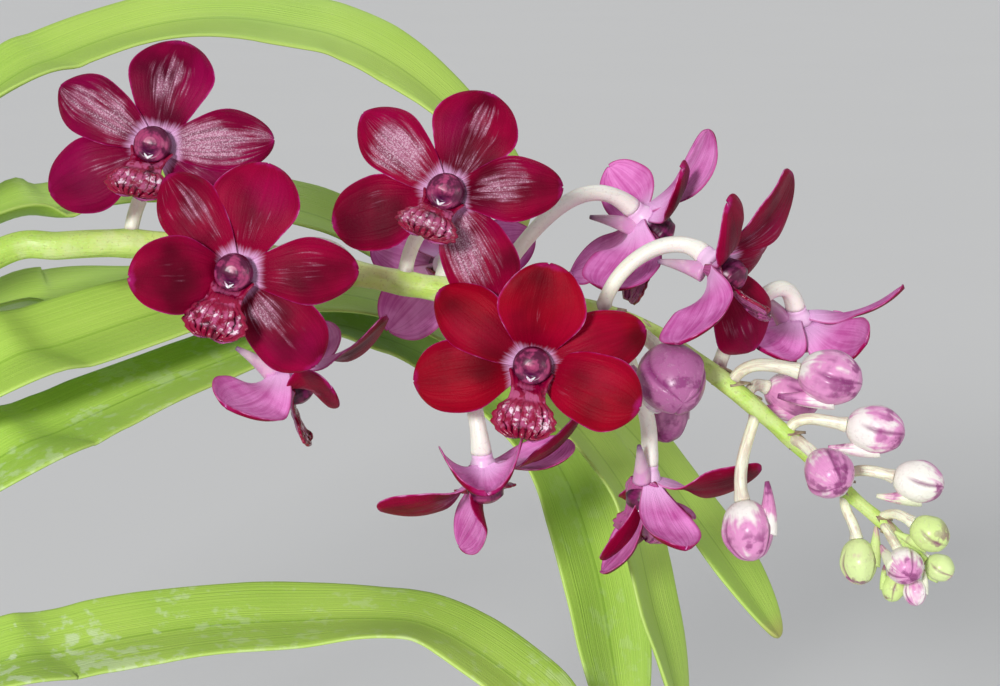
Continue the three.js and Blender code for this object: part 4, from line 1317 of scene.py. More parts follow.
@dataclass(frozen=True)
class Root:
    """One root: its turn about the stem, the height that it leaves at, its reach and its fall."""

    turn: float
    height: float
    reach: float
    fall: float
    rise: float = 0.0

    def at(self, distance: float, level: float, twist: float) -> Point:
        """Returns a point out from the stem."""
        turn = self.turn + twist
        return (distance * math.cos(turn), distance * math.sin(turn), level)

    def path(self) -> Path:
        """Returns the root's line: into the bark, or over the rim where it has a rise."""
        if self.rise:
            return Path.through([
                self.at(1, self.height, 0), self.at(22, self.height + self.rise, 0.05),
                self.at(44, self.height + self.rise * 0.3, 0.12), self.at(60, self.height - 18, 0.2),
                self.at(67, self.height - 0.6 * self.fall, 0.22), self.at(65, self.height - self.fall, 0.3),
            ])
        return Path.through([
            self.at(1, self.height, 0), self.at(self.reach * 0.55, self.height + 3, 0.1),
            self.at(self.reach, self.height - 0.35 * self.fall, 0.25),
            self.at(self.reach * 0.98, self.height - self.fall, 0.35),
        ])


@dataclass
class StemAndRoots:
    """The upright stem, the sheaths that clasp it in two ranks, and its roots."""

    stem_radius: float = 6.0
    stem_foot: float = 92.0
    stem_top: float = 326.0
    sheath_radius: float = 7.0
    sheath_rise: float = 19.0
    root_radius: float = 2.8
    roots: tuple[Root, ...] = (
        Root(0.5, 158, 24, 60), Root(1.7, 150, 27, 52), Root(4.1, 148, 28, 50), Root(5.3, 154, 26, 56),
        Root(5.0, 165, 0, 76, 8), Root(3.7, 161, 0, 98, 7),
    )

    def stem(self) -> Piece:
        """Builds the stem with its faint joints."""
        path = Path.through([(0, 0, self.stem_foot), (0, 0, 200), (0, 0, self.stem_top - 20)])

        def radius(turn: Array, along: Array) -> Array:
            """Swells a little at each joint."""
            swell = 0.05 * np.cos(along * 24 * math.pi) ** 8
            return self.stem_radius * (1 + swell + 0.02 * np.cos(3 * turn))

        return Skin("stem", 24, 80, tube_ring(path, radius)).build()

    def sheath(self, name: str, height: float, side: int) -> Piece:
        """Builds one sheath, which opens towards its blade and has a keel behind."""
        end, out = np.array([side * SHEATH_REACH, 0, height]), sheath_way(side)
        foot = np.array([0, 0, height - self.sheath_rise - 6.0])
        path = Path.bezier([foot, end - out * 8, end])

        def ring(turn: Array, along: Array) -> Array:
            """Places an oval that grows flatter towards the blade."""
            v = along[:, 0]
            ahead = path.tangent(v)
            wide = np.broadcast_to(np.array([0.0, float(side), 0.0]), ahead.shape)
            above = np.cross(wide, ahead) * -1.0
            breadth = (self.sheath_radius - 0.2 * v)[:, None]
            height_half = (self.sheath_radius - 2.6 * v**2)[:, None]
            keel = 1 + 0.16 * np.clip(-np.sin(turn), 0, 1) ** 6
            across = wide[:, None, :] * (np.cos(turn) * breadth)[..., None]
            lift = above[:, None, :] * (np.sin(turn) * height_half * keel)[..., None]
            return path.point(v)[:, None, :] + across + lift

        return Skin(f"sheath_{name}", 28, 22, ring, tone=(height % 7) / 7).build()

    def root(self, k: int) -> Piece:
        """Builds one root, uneven along its length."""
        root = self.roots[k]

        def radius(turn: Array, along: Array) -> Array:
            """Thins towards a rounded tip."""
            uneven = 1 + 0.07 * np.sin(along * 23 + k) + 0.05 * np.sin(2 * turn + 9 * along + k)
            return self.root_radius * uneven * (1 - 0.2 * smoothstep(along, 0.86, 0.95)) * np.sqrt(
                np.clip(1 - smoothstep(along, 0.96, 1.0) ** 2 * 0.98, 0.02, 1)
            )

        return Skin(f"root_{k + 1}", 16, 70, tube_ring(root.path(), radius), tone=k / 6).build()

    def crown(self) -> Piece:
        """Builds the sheath at the stem's top, which the youngest leaf grows from."""
        top = self.stem_top
        path = Path.through([(0, 0, top - 30), (-1.5, 0, top - 15), (-3, 0, top)])

        def radius(turn: Array, along: Array) -> Array:
            """Thins upwards."""
            return 6.4 - 1.4 * along + 0 * turn

        return Skin("crown", 24, 14, tube_ring(path, radius)).build()

    def dress(self) -> None:
        """Builds and finishes the stem, the sheaths and the roots."""
        sheaths = [self.sheath(name, height, 1) for name, height in FLOWER_SIDE.items()]
        sheaths += [self.sheath(name, height, -1) for name, height in FAR_SIDE.items()]
        crown = self.crown()
        stem = join("stem_with_sheaths", [self.stem(), crown, *sheaths])
        settle(stem, StemFinish(), Slot.STEM, "stem_and_roots")
        roots = join("roots", [self.root(k) for k in range(len(self.roots))])
        settle(roots, RootFinish(), Slot.STEM, "stem_and_roots")


# Leaves


@dataclass
class Leaf:
    """A strap leaf: the curve of its midrib, the way that its upper face looks, and its breadth."""

    name: str
    path: Path
    look: Callable[[Array], Array]
    width: float = 29.0
    thickness: float = 1.5
    chalk: float = 0.0
    rows: int = 150
    around: int = 32

    def strap(self, v: Array) -> Array:
        """Returns the half width: narrow at the sheath, then even, then rounded off at the tip."""
        start = 0.5 + 0.5 * np.sin(math.pi / 2 * np.minimum(1, v / 0.26))
        taper = 1 - 0.14 * v
        tip = np.where(v > 0.9, np.sqrt(np.clip(1 - ((v - 0.9) / 0.1) ** 2, 0.0004, 1)), 1)
        return self.width / 2 * start * taper * tip

    @staticmethod
    def fold(v: Array) -> Array:
        """Returns how far the halves fold up from the midrib, in radians."""
        return 0.5 * np.exp(-v * 9) + 0.2

    def ring(self, turn: Array, along: Array) -> Array:
        """Places the corners round the blade, the upper face where the sine of turn is above 0."""
        v = along[:, 0]
        ahead = self.path.tangent(v)
        up = self.look(v)
        up = unit(up - ahead * np.sum(up * ahead, axis=1, keepdims=True))
        across = np.cross(ahead, up)
        reach, fold = self.strap(v)[:, None], self.fold(v)[:, None]
        u = np.cos(turn)
        bent = np.sqrt(u**2 + 0.004)
        seed = sum(map(ord, self.name))
        ripple = 0.35 * np.sin(v * 31 + seed)[:, None] * u**3 * np.minimum(1, v * 3)[:, None]
        flat = u * reach * np.cos(fold)
        rise = (bent - 0.5) * reach * np.sin(fold) + ripple
        side = np.sign(np.sin(turn)) * np.abs(np.sin(turn)) ** 0.5 * self.thickness / 2
        side = side * np.minimum(1, self.strap(v) / 3)[:, None]
        tilt = np.tanh(u * 8) * fold
        normal_up, normal_across = np.cos(tilt), -np.sin(tilt)
        place = self.path.point(v)[:, None, :]
        place = place + across[:, None, :] * (flat + side * normal_across)[..., None]
        return place + up[:, None, :] * (rise + side * normal_up)[..., None]

    @staticmethod
    def row_at(v: Array) -> Array:
        """Spaces rows evenly, and closer together towards the tip."""
        even, rest = 0.88, 0.12
        return np.where(v < even, v, even + rest * np.sin((v - even) / rest * math.pi / 2))

    def dress(self) -> None:
        """Builds and finishes the leaf."""
        skin = Skin(f"{self.name}_blade", self.around, self.rows, self.ring, self.chalk, self.row_at)
        settle(skin.build(), LeafFinish(), Slot.LEAF, self.name)


@dataclass
class SeenLeaf:
    """A blade on the flower side, by what the front view shows of it.

    Each station along its midrib is a column, a row, a depth and the width that is seen there.
    """

    name: str
    stations: tuple[tuple[float, float, float, float], ...]
    chalk: float = 0.0
    straight: float = 12.0

    def leaf(self) -> Leaf:
        """Rolls the blade towards the view by as much as makes it look as wide as it should."""
        end, out = np.array([SHEATH_REACH, 0, FLOWER_SIDE[self.name]]), sheath_way(1)
        seen = [VIEW.point(station) for station in self.stations]
        path = Path.through([end + out * BLADE_GAP, end + out * self.straight, *seen])
        known = np.array(self.stations, float)

        def look(v: Array) -> Array:
            """Returns the way that the upper face looks."""
            place = path.own_share(v) * (len(known) + 1) - 2
            at = np.clip(place, 0, len(known) - 1)
            index = np.arange(len(known))
            width, depth = np.interp(at, index, known[:, 3]), np.interp(at, index, known[:, 2])
            size = width * VIEW.pixel * (VIEW.distance + depth) / VIEW.distance
            whole = 2 * made.strap(np.minimum(v, 0.9)) * np.cos(made.fold(v))
            roll = np.arcsin(np.minimum(0.97, size / whole))[:, None]
            ahead = path.tangent(v)
            above = unit(VIEW.right * (-ahead @ VIEW.up)[:, None] + VIEW.up * (ahead @ VIEW.right)[:, None])
            rolled = above * np.cos(roll) - VIEW.away * np.sin(roll)
            share = smoothstep(place, -2, 0.5)[:, None]
            return sheath_way(-1) * (1 - share) + rolled * share

        made = Leaf(self.name, path, look, chalk=self.chalk)
        return made


@dataclass
class ArchingLeaf:
    """A blade on the far side.

    It has the slopes at which it starts and ends, its length, the turn of its plane and how far its face
    leans to one side, with all angles in degrees.
    """

    name: str
    start: float
    end: float
    length: float
    turn: float
    roll: float
    chalk: float = 0.0
    straight: float = 9.0

    def leaf(self) -> Leaf:
        """Walks the arc and leans its face to one side."""
        steps, heading = 14, math.radians(self.turn)
        seat, out = np.array([-SHEATH_REACH, 0, FAR_SIDE[self.name]]), sheath_way(-1)
        point = seat + out * self.straight
        points = [seat + out * BLADE_GAP, point.copy()]
        for k in range(steps):
            share = (k + 0.5) / steps
            slope = math.radians(self.start + (self.end - self.start) * share**1.25)
            turned = math.pi + (heading - math.pi) * min(1, share * 3)
            way = (math.cos(slope) * math.cos(turned), math.cos(slope) * math.sin(turned), math.sin(slope))
            point = point + np.array(way) * self.length / steps
            points.append(point)
        side = np.array([-math.sin(heading), math.cos(heading), 0])
        lean = math.tan(math.radians(self.roll))

        def look(v: Array) -> Array:
            """Returns the way that the upper face looks."""
            ahead = np.stack([0.6 * (1 - v), 0 * v, 1 + 0 * v], axis=1)
            return ahead + side * (lean * np.minimum(1, v * 3))[:, None]

        return Leaf(self.name, Path.through(points), look, chalk=self.chalk)


SEEN_LEAVES = (
    SeenLeaf("leaf_r1", (
        (0, 82, 11, 73), (60, 54, 19, 70), (120, 32, 26, 68), (180, 19, 32, 67), (240, 17, 38, 66),
        (300, 26, 43, 66), (340, 36, 46, 65), (385, 57, 49, 60), (430, 89, 51, 50), (475, 134, 51, 44),
        (508, 185, 50, 36), (520, 232, 49, 30))),
    SeenLeaf("leaf_r2", (
        (0, 212, 20, 50), (60, 204, 29, 52), (130, 191, 39, 53), (200, 188, 48, 54), (300, 209, 60, 52),
        (350, 228, 68, 50), (400, 255, 76, 48), (450, 290, 81, 45), (520, 340, 83, 42),
        (590, 390, 84, 42), (640, 440, 83, 43), (669, 476, 81, 44), (696, 514, 78, 45),
        (736, 571, 74, 46), (779, 638, 70, 42))),
    SeenLeaf("leaf_r3", (
        (0, 306, 37, 56), (60, 297, 44, 54), (140, 291, 53, 52), (220, 286, 63, 50), (290, 288, 73, 46),
        (350, 300, 81, 42), (404, 324, 86, 38))),
    SeenLeaf("leaf_r4", (
        (0, 360, 4, 92), (60, 342, 13, 88), (140, 316, 23, 84), (200, 300, 31, 78), (260, 290, 38, 66),
        (320, 290, 44, 52), (380, 300, 50, 46), (440, 322, 52, 44), (510, 364, 52, 44),
        (565, 412, 51, 44), (603, 456, 49, 43), (630, 500, 47, 42), (644, 560, 45, 42),
        (655, 610, 43, 42), (666, 650, 42, 40), (682, 720, 40, 38))),
    SeenLeaf("leaf_r5", (
        (0, 454, 6, 88), (60, 428, 15, 84), (100, 409, 21, 80), (150, 387, 28, 72), (200, 367, 35, 64),
        (260, 344, 43, 54), (325, 323, 50, 46), (380, 335, 55, 42), (430, 356, 59, 44),
        (485, 388, 61, 50), (530, 426, 62, 60), (560, 466, 62, 70), (580, 510, 61, 78),
        (600, 580, 59, 80), (611, 640, 58, 78), (620, 700, 57, 74), (628, 745, 56, 68)), chalk=0.35),
    SeenLeaf("leaf_r6", (
        (0, 659, 6, 68), (60, 650, 11, 70), (100, 641, 14, 69), (150, 632, 18, 67), (200, 625, 21, 65),
        (250, 621, 23, 61), (300, 619, 25, 54), (340, 617, 26, 48), (380, 617, 26, 43),
        (415, 620, 26, 40), (445, 631, 26, 44), (470, 645, 25, 50), (505, 669, 24, 56),
        (545, 702, 23, 60), (588, 750, 22, 56)),
        chalk=0.6),
)
ARCHING_LEAVES = (
    ArchingLeaf("leaf_l1", 58, -38, 250, 176, 24),
    ArchingLeaf("leaf_l2", 50, -62, 290, 187, -20),
    ArchingLeaf("leaf_l3", 46, -75, 285, 171, 26),
    ArchingLeaf("leaf_l4", 42, -66, 260, 188, -22, chalk=0.1),
    ArchingLeaf("leaf_l5", 38, -62, 225, 170, 20, chalk=0.2),
    ArchingLeaf("leaf_l6", 34, -52, 175, 190, -15, chalk=0.6),
)


def crown_leaf() -> Leaf:
    """Returns the youngest leaf, which stands almost upright and is still folded."""
    path = Path.through([(-3, 0, 326.6), (-5, 2, 352), (-13, 5, 384), (-32, 9, 416)])

    def look(v: Array) -> Array:
        """Returns the way that the upper face looks, the same all along."""
        return np.array([[1, -0.45, 0.3]]) + 0 * v[:, None]

    return Leaf("leaf_crown", path, look, width=20, rows=70)


# Blooms


@dataclass(frozen=True)
class TepalShape:
    """The outline and bowl of a petal or sepal."""

    length: float
    width: float
    broadest: float
    claw: float
    pointed: float
    cup: float
    lift: float = 0.0

    def half(self, v: Array) -> Array:
        """Returns the half width, widest at the share named broadest and rounded at the tip."""
        rise = self.claw + (1 - self.claw) * np.sin(math.pi / 2 * np.minimum(1, v / self.broadest)) ** 1.2
        past = np.clip((v - self.broadest) / (1 - self.broadest), 0, 1)
        falling = np.maximum(0.04, (1 - past**2) ** self.pointed)
        return self.width / 2 * np.where(v < self.broadest, rise, falling)


TOP_SEPAL = TepalShape(23.0, 18.0, 0.64, 0.3, 0.5, 1.2)
SIDE_SEPAL = TepalShape(24.5, 16.0, 0.62, 0.3, 0.55, -0.9)
PETAL = TepalShape(24.5, 13.5, 0.58, 0.32, 0.53, -1.1, 1.5)
SHAPES = (TOP_SEPAL, SIDE_SEPAL, SIDE_SEPAL, PETAL, PETAL)


@dataclass(frozen=True)
class Tepal:
    """One petal or sepal of a bloom.

    It has its degrees clockwise from the top, folded forward and of twist, how many times as long and as
    broad it is as its kind, its own bowl where that differs, and how far out from the middle it starts.
    """

    angle: float
    fold: float
    twist: float = 0.0
    longer: float = 1.0
    broader: float = 1.0
    bowl: float | None = None
    start: float = 2.3

    def surface(self, shape: TepalShape, seed: float) -> Callable[[Array, Array], Array]:
        """Returns its middle surface in the bloom's own frame."""
        turn, forward = math.radians(self.angle), math.radians(self.fold)
        out, face = np.array([math.sin(turn), math.cos(turn), 0]), np.array([0.0, 0.0, 1.0])
        along = out * math.cos(forward) + face * math.sin(forward)
        rise = face * math.cos(forward) - out * math.sin(forward)
        across = np.array([math.cos(turn), -math.sin(turn), 0])
        length = shape.length * self.longer
        cup = shape.cup if self.bowl is None else self.bowl

        def place(u: Array, v: Array) -> Array:
            """Places a point of the surface."""
            half = shape.half(v) * self.broader
            arch = length * (0.1 * np.sin(math.pi * v) - 0.07 * v * v)
            turned = np.radians(self.twist * smoothstep(v, 0.05, 0.5))
            ripple = 0.32 * np.abs(u) ** 3 * np.sin(v * 9 + seed + 2 * np.sign(u)) * smoothstep(v, 0.15, 0.6)
            crease = -0.28 * np.exp(-((u / 0.13) ** 2)) * np.sin(math.pi * np.clip(v, 0, 1))
            rolled = -0.8 * smoothstep(np.abs(u), 0.72, 1.0) * smoothstep(v, 0.25, 0.7)
            height = u * half * np.sin(turned) + shape.lift * (1 - v**3) + arch + cup * (u * half / 8) ** 2
            height = height + ripple + crease + rolled
            flat = u * half * np.cos(turned) * (1 + 0.035 * np.sin(v * 11 + seed))
            ahead = self.start + (length - self.start) * v
            return along * ahead[..., None] + across * flat[..., None] + rise * height[..., None]

        return place


@dataclass
class Bloom:
    """An open bloom: top sepal, two side sepals, two petals, lip, spur and column.

    A place is a column, a row and a depth of the front view, and a way is so much to the right, up and
    towards the view. It has its place, the ways that it faces and that its top points, how far its lip
    hangs in degrees, its tepals, the place where its pedicel starts and the way that this leaves the
    stalk, and how much painted silvery sheen each tepal carries.
    """

    name: str
    at: Point
    faces: Point
    top: Point
    lip: float
    tepals: tuple[Tepal, ...]
    start: Point
    leaves: Point
    # How much painted silvery sheen each tepal carries.
    silver: tuple[float, ...] = (0.0, 0.0, 0.0, 0.0, 0.0)
    finish: TepalFinish = field(default_factory=TepalFinish)
    thickness: float = 0.8
    hub_back: float = 2.5
    lip_length: float = 17.0
    spur_length: float = 10.5

    @property
    def stand(self) -> Stand:
        """Where the bloom sits and how it is turned."""
        return Stand(VIEW.point(self.at), VIEW.facing(self.faces), VIEW.facing(self.top))

    @staticmethod
    def row_at(v: Array) -> Array:
        """Spaces a tepal's rows closer together towards its tip."""
        return np.sin(math.pi / 2 * v) ** 0.9

    def build_tepals(self) -> Piece:
        """Builds the five petals and sepals."""
        seed = sum(map(ord, self.name)) * 0.37
        pieces = []
        for k, (tepal, shape) in enumerate(zip(self.tepals, SHAPES)):
            ring = blade_ring(tepal.surface(shape, seed + k * 1.7), self.thickness, 0.6)
            tone = (seed * 0.61 + k * 0.27) % 1.0
            skin = Skin(f"{self.name}_{k}", 44, 34, self.stand.put(ring), tone, self.row_at, self.silver[k])
            pieces.append(skin.build())
        return join(f"{self.name}_tepals", pieces)

    def build_lip(self) -> Piece:
        """Builds the lip: two raised lobes at its foot, a narrow saddle and a ridged fan."""
        drop = math.radians(self.lip)
        foot = np.array([0, -2.4, 0.6])
        tip = foot + self.lip_length * np.array([0, -math.sin(drop), math.cos(drop)])
        path = Path.bezier([foot, np.array([0, -3.2, 7.5]), tip])
        known = np.array([
            [0, 3, 0.4], [0.12, 4.2, 2.0], [0.2, 4.6, 2.6], [0.3, 3.8, 1.5], [0.42, 3.6, 0.6],
            [0.52, 3.9, 0.2], [0.62, 5.5, -0.3], [0.72, 6.5, -0.6], [0.82, 6.7, -0.8], [0.92, 5.6, -0.6],
            [1, 3.4, -0.3],
        ])

        def place(u: Array, v: Array) -> Array:
            """Places a point of the lip."""
            share, half_known, edge_known = known.T
            half, edge = np.interp(v, share, half_known), np.interp(v, share, edge_known)
            ahead = path.tangent(v)
            rise = np.stack([0 * v, ahead[..., 2], -ahead[..., 1]], axis=-1)
            fan = smoothstep(v, 0.54, 0.66)
            inside = 1 - smoothstep(np.abs(u), 0.82, 0.98)
            ridge = 0.14 * fan * np.cos(u * LIP_RIDGES * math.pi) * (0.2 + 0.8 * inside)
            callus = 0.7 * bump_at(v, 0.46, 0.06) * (1 - u**2)
            callus = callus + 0.7 * bump_at(u, 0, 0.24) * bump_at(v, 0.95, 0.06)
            crest = 0.45 * bump_at(v, 0.6, 0.06) * (1 - 0.5 * u**2)
            frill = 0.35 * fan * np.sin(7 * u + 1) * np.abs(u)
            height = edge * u * u + ridge + callus + crest + frill
            half = half * (1 + 0.04 * fan * np.cos(v * 60))
            return path.point(v) + rise * height[..., None] + np.stack([u * half, 0 * u, 0 * u], axis=-1)

        ring = blade_ring(place, 1.3, 0.6)
        return Skin(f"{self.name}_lip", 72, 44, self.stand.put(ring), tone=0.3).build()

    def build_column(self) -> Piece:
        """Builds the hub and the round column, hollowed under its cap."""
        profile = Path.through([
            (0.6, -2.5, 0), (2.1, -2.45, 0), (2.25, -1.4, 0), (2.8, -0.2, 0), (3.15, 1.2, 0), (3.15, 2.6, 0),
            (3.75, 4.4, 0), (3.95, 5.6, 0), (3.3, 7.4, 0), (1.9, 8.4, 0), (0.3, 8.65, 0),
        ])

        def sunk(turn: Array, along: Array) -> Array:
            """Returns how deep a corner lies in the hollow under the cap, from 0 to 1."""
            radius = profile.point(along)[..., 0] * (along > 0.5)
            return np.clip(-np.sin(turn), 0, 1) ** 1.5 * bump_at(radius, 1.9, 0.85)

        def ring(turn: Array, along: Array) -> Array:
            """Turns the profile, sinks the hollow and raises the ledges round the cap."""
            radius, level = profile.point(along)[..., 0], profile.point(along)[..., 1]
            ledge = 0.1 * bump_at(level, 5.1, 0.35) + 0.24 * bump_at(level, 7.1, 0.3)
            size = radius + ledge * smoothstep(radius, 1.0, 2.5)
            level = level - 1.5 * sunk(turn, along)
            return np.stack([size * np.cos(turn), size * np.sin(turn), level], axis=-1)

        # sunk also sets how much painted shade the column's hollow takes.
        return Skin(f"{self.name}_column", 48, 60, self.stand.put(ring), tone=0.5, accent=sunk).build()

    def build_tip(self) -> Piece:
        """Builds the small white crescent under the cap."""
        path = Path.through([
            (-0.95, -2.1, 7.3), (-0.45, -2.6, 7.5), (0, -2.95, 7.6), (0.45, -2.6, 7.5), (0.95, -2.1, 7.3),
        ])

        def radius(turn: Array, along: Array) -> Array:
            """Thins towards both ends."""
            return 0.08 + 0.22 * np.sin(math.pi * along) + 0 * turn

        return Skin(f"{self.name}_tip", 12, 20, self.stand.put(tube_ring(path, radius))).build()

    def build_spur(self) -> Piece:
        """Builds the spur, which curves down behind the lip."""
        base = np.array([0, -3.0, 0.4])
        way = unit(np.array([0, -0.5, -1.0]))
        tip = base + way * self.spur_length
        path = Path.bezier([base, base + way * 5 + np.array([0, 0.7, 0]), tip])

        def radius(turn: Array, along: Array) -> Array:
            """Tapers to a blunt tip."""
            return 2.1 * (1 - along * 0.78) * (1 + 0.05 * np.cos(2 * turn))

        return Skin(f"{self.name}_spur", 18, 20, self.stand.put(tube_ring(path, radius))).build()

    def dress(self) -> None:
        """Builds and finishes every piece of the bloom."""
        settle(self.build_tepals(), self.finish, Slot.PETAL, self.name)
        settle(self.build_lip(), LipFinish(), Slot.PETAL, self.name)
        settle(self.build_column(), ColumnFinish(), Slot.PETAL, self.name)
        settle(self.build_tip(), PointFinish(), Slot.PETAL, self.name)
        settle(self.build_spur(), SpurFinish(), Slot.PETAL, self.name)


CRIMSON = TepalFinish()
MAROON = TepalFinish("tepal_maroon", (0.06, 0.0, 0.011), (0.2, 0.0, 0.032), (0.3, 0.0, 0.07))
SCARLET = TepalFinish("tepal_scarlet", (0.1, 0.0, 0.005), (0.31, 0.0, 0.013), (0.36, 0.0, 0.028))

BLOOMS = (
    Bloom("bloom_1", (157, 148, -13), (-0.06, 0.05, 1), (0.22, 0.97, 0), 34,
          (Tepal(0, 2), Tepal(-125, 2), Tepal(113, 4), Tepal(-70, 2), Tepal(73, 2)),
          (131, 243, -1), (-0.1, 1, -0.3), (0.08, 0.02, 0.1, 0.4, 0.55), MAROON),
    Bloom("bloom_2", (238, 273, -31), (-0.08, -0.02, 1), (0.27, 0.96, 0), 41,
          (Tepal(0, 2), Tepal(-108, 42), Tepal(124, 4), Tepal(-52, 4), Tepal(73, 2)),
          (352, 272, 2), (-0.4, 1, -0.4), (-0.12, -0.1, 0.05, 0.1, 0.25), CRIMSON),
    Bloom("bloom_3", (447, 195, -20), (-0.04, 0.06, 1), (0.4, 0.92, 0), 30,
          (Tepal(0, 2), Tepal(-128, 2), Tepal(130, 3), Tepal(-69, 2), Tepal(64, 16)),
          (405, 283, 2), (0, 1, 0), (0.1, -0.05, 0.45, 0.42, 0.15), CRIMSON),
    Bloom("bloom_4", (532, 365, -23), (0, -0.03, 1), (0.16, 0.99, 0), 46,
          (Tepal(0, 28), Tepal(-107, 4), Tepal(102, 22), Tepal(-61, 4), Tepal(63, 4)),
          (556, 303, 1), (-0.4, -0.8, -0.6), (-0.25, -0.2, -0.2, -0.25, -0.25), SCARLET),
    Bloom("bloom_5", (641, 216, 18), (0.7, -0.6, -0.35), (0.64, 0.77, 0), 52,
          (Tepal(0, 3, 0, 1.05), Tepal(-138, 0, 45), Tepal(140, 10), Tepal(-52, -12, 0, 0.85),
           Tepal(75, -15, 0, 0.8)), (487, 296, 2), (0.5, 0.8, -0.3)),
    Bloom("bloom_6", (712, 261, -6), (0.66, -0.62, 0.42), (0.74, 0.67, 0), -6,
          (Tepal(0, 2, 0, 1.1), Tepal(-150, 34, 50), Tepal(107, 36), Tepal(-66, 10, -25, 0.9),
           Tepal(56, -4)),
          (602, 314, 0), (0.1, 1, 0.5)),
    Bloom("bloom_7", (798, 317, 26), (0.24, -0.84, -0.48), (0.99, 0.12, 0), 6,
          (Tepal(0, 2, 28, 1.05, 0.8), Tepal(-122, -8, 35, 0.82, 0.9), Tepal(122, 30), Tepal(-60, 0, -35),
           Tepal(66, 35)), (716, 376, 0), (0.2, 0.7, -0.9)),
    Bloom("bloom_8", (483, 464, -8), (0.1, -0.94, -0.3), (0.05, -0.3, 1), 50,
          (Tepal(0, 3, 0, 0.85, 1, -9), Tepal(-140, 68, 66, 0.97, 1), Tepal(130, 10), Tepal(-95, 24, -40),
           Tepal(90, -15, 25, 0.9)), (454, 292, 2), (0, -1, -0.4)),
    Bloom("bloom_9", (647, 474, 6), (-0.1, -0.92, -0.32), (0.36, 0, -0.93), -20,
          (Tepal(0, 40), Tepal(-136, 22, 0, 1, 0.76, -2.2), Tepal(119, 78), Tepal(-70, -6, 45),
           Tepal(70, 75)), (622, 322, 0), (0.1, -1, -0.2)),
    Bloom("bloom_10", (286, 368, 0), (0.37, -0.83, -0.42), (0.9, 0.42, 0), 0,
          (Tepal(0, 2, 32, 1.05), Tepal(-124, -10, 45), Tepal(120, 35), Tepal(-66, 6, 75, 0.8),
           Tepal(66, 12)), (236, 253, 2), (0, -1, -0.5)),
    Bloom("bloom_11", (447, 264, 18), (-0.05, -0.12, -0.98), (0, 1, 0), 0,
          (Tepal(0, 45), Tepal(-132, 48), Tepal(135, 48), Tepal(-67, 34), Tepal(68, 50)),
          (440, 289, 2), (0, 0.3, -1)),
)


# Buds


# Where a bud's three seams run, in degrees round it
SEAMS = (35, 152, -88)


@dataclass
class Bud:
    """A closed bud with its spur.

    It has the place of its middle, the ways that its tip and its spur point, its length and width, the
    place where its pedicel starts and the way that this leaves the stalk, and how ripe it is.
    """

    name: str
    at: Point
    tip: Point
    spur: Point
    length: float
    width: float
    start: Point
    leaves: Point
    ripe: float = 0.6

    @property
    def stand(self) -> Stand:
        """Where the bud sits and how it is turned."""
        return Stand(VIEW.point(self.at), VIEW.facing(self.tip), -VIEW.facing(self.spur))

    def body(self) -> Piece:
        """Builds the bud, with the seams where its sepals meet."""
        half, radius = self.length / 2, self.width / 2
        profile = Path.through([
            (0.2 * radius, -half, 0), (0.46 * radius, -0.94 * half, 0), (0.78 * radius, -0.66 * half, 0),
            (radius, -0.1 * half, 0), (0.93 * radius, 0.35 * half, 0), (0.6 * radius, 0.8 * half, 0),
            (0.25 * radius, 0.96 * half, 0), (0.02 * radius, half, 0),
        ])

        def seams(turn: Array, along: Array, width: float, aside: float = 0.0) -> Array:
            """Returns how near a corner is to one of the three seams, which wind a little."""
            near = 0
            for seam in SEAMS:
                apart = turn - math.radians(seam) - 0.5 * np.sin(along * 2.6) - aside
                apart = np.angle(np.exp(1j * apart))
                near = near + np.exp(-((apart / width) ** 2))
            return near * smoothstep(along, 0.2, 0.45)

        def ring(turn: Array, along: Array) -> Array:
            """Turns the profile and sinks the seams."""
            place = profile.point(along)
            size, level = place[..., 0], place[..., 1]
            sunk = seams(turn, along, 0.07) - 0.6 * seams(turn, along, 0.16, 0.22)
            size = size * (1 - 0.075 * sunk) * (1 + 0.03 * np.cos(3 * turn + 1))
            return np.stack([size * np.cos(turn), size * np.sin(turn), level], axis=-1)

        def edge(turn: Array, along: Array) -> Array:
            """Returns how strongly a corner takes the colour of a seam."""
            return seams(turn, along, 0.1)

        return Skin(f"{self.name}_body", 96, 40, self.stand.put(ring), tone=self.ripe, accent=edge).build()

    def horn(self) -> Piece:
        """Builds the bud's spur, which points back beside the pedicel."""
        half, radius = self.length / 2, self.width / 2
        foot = np.array([0, -0.66 * radius, 0.2 * half])
        far = foot + unit(np.array([0, -0.2, -1])) * (0.72 * self.length + 0.3 * half)
        middle = (foot + far) / 2 + np.array([0, -0.16 * radius, 0])

        def thick(turn: Array, along: Array) -> Array:
            """Tapers to a blunt tip."""
            return 0.45 * radius * (1 - 0.8 * along**1.2) + 0 * turn

        ring = tube_ring(Path.bezier([foot, middle, far]), thick)
        return Skin(f"{self.name}_horn", 20, 18, self.stand.put(ring), tone=self.ripe * 0.75).build()

    def dress(self) -> None:
        """Builds and finishes the bud."""
        whole = join(f"{self.name}_closed", [self.body(), self.horn()])
        settle(whole, BudFinish(), Slot.BUD, self.name)


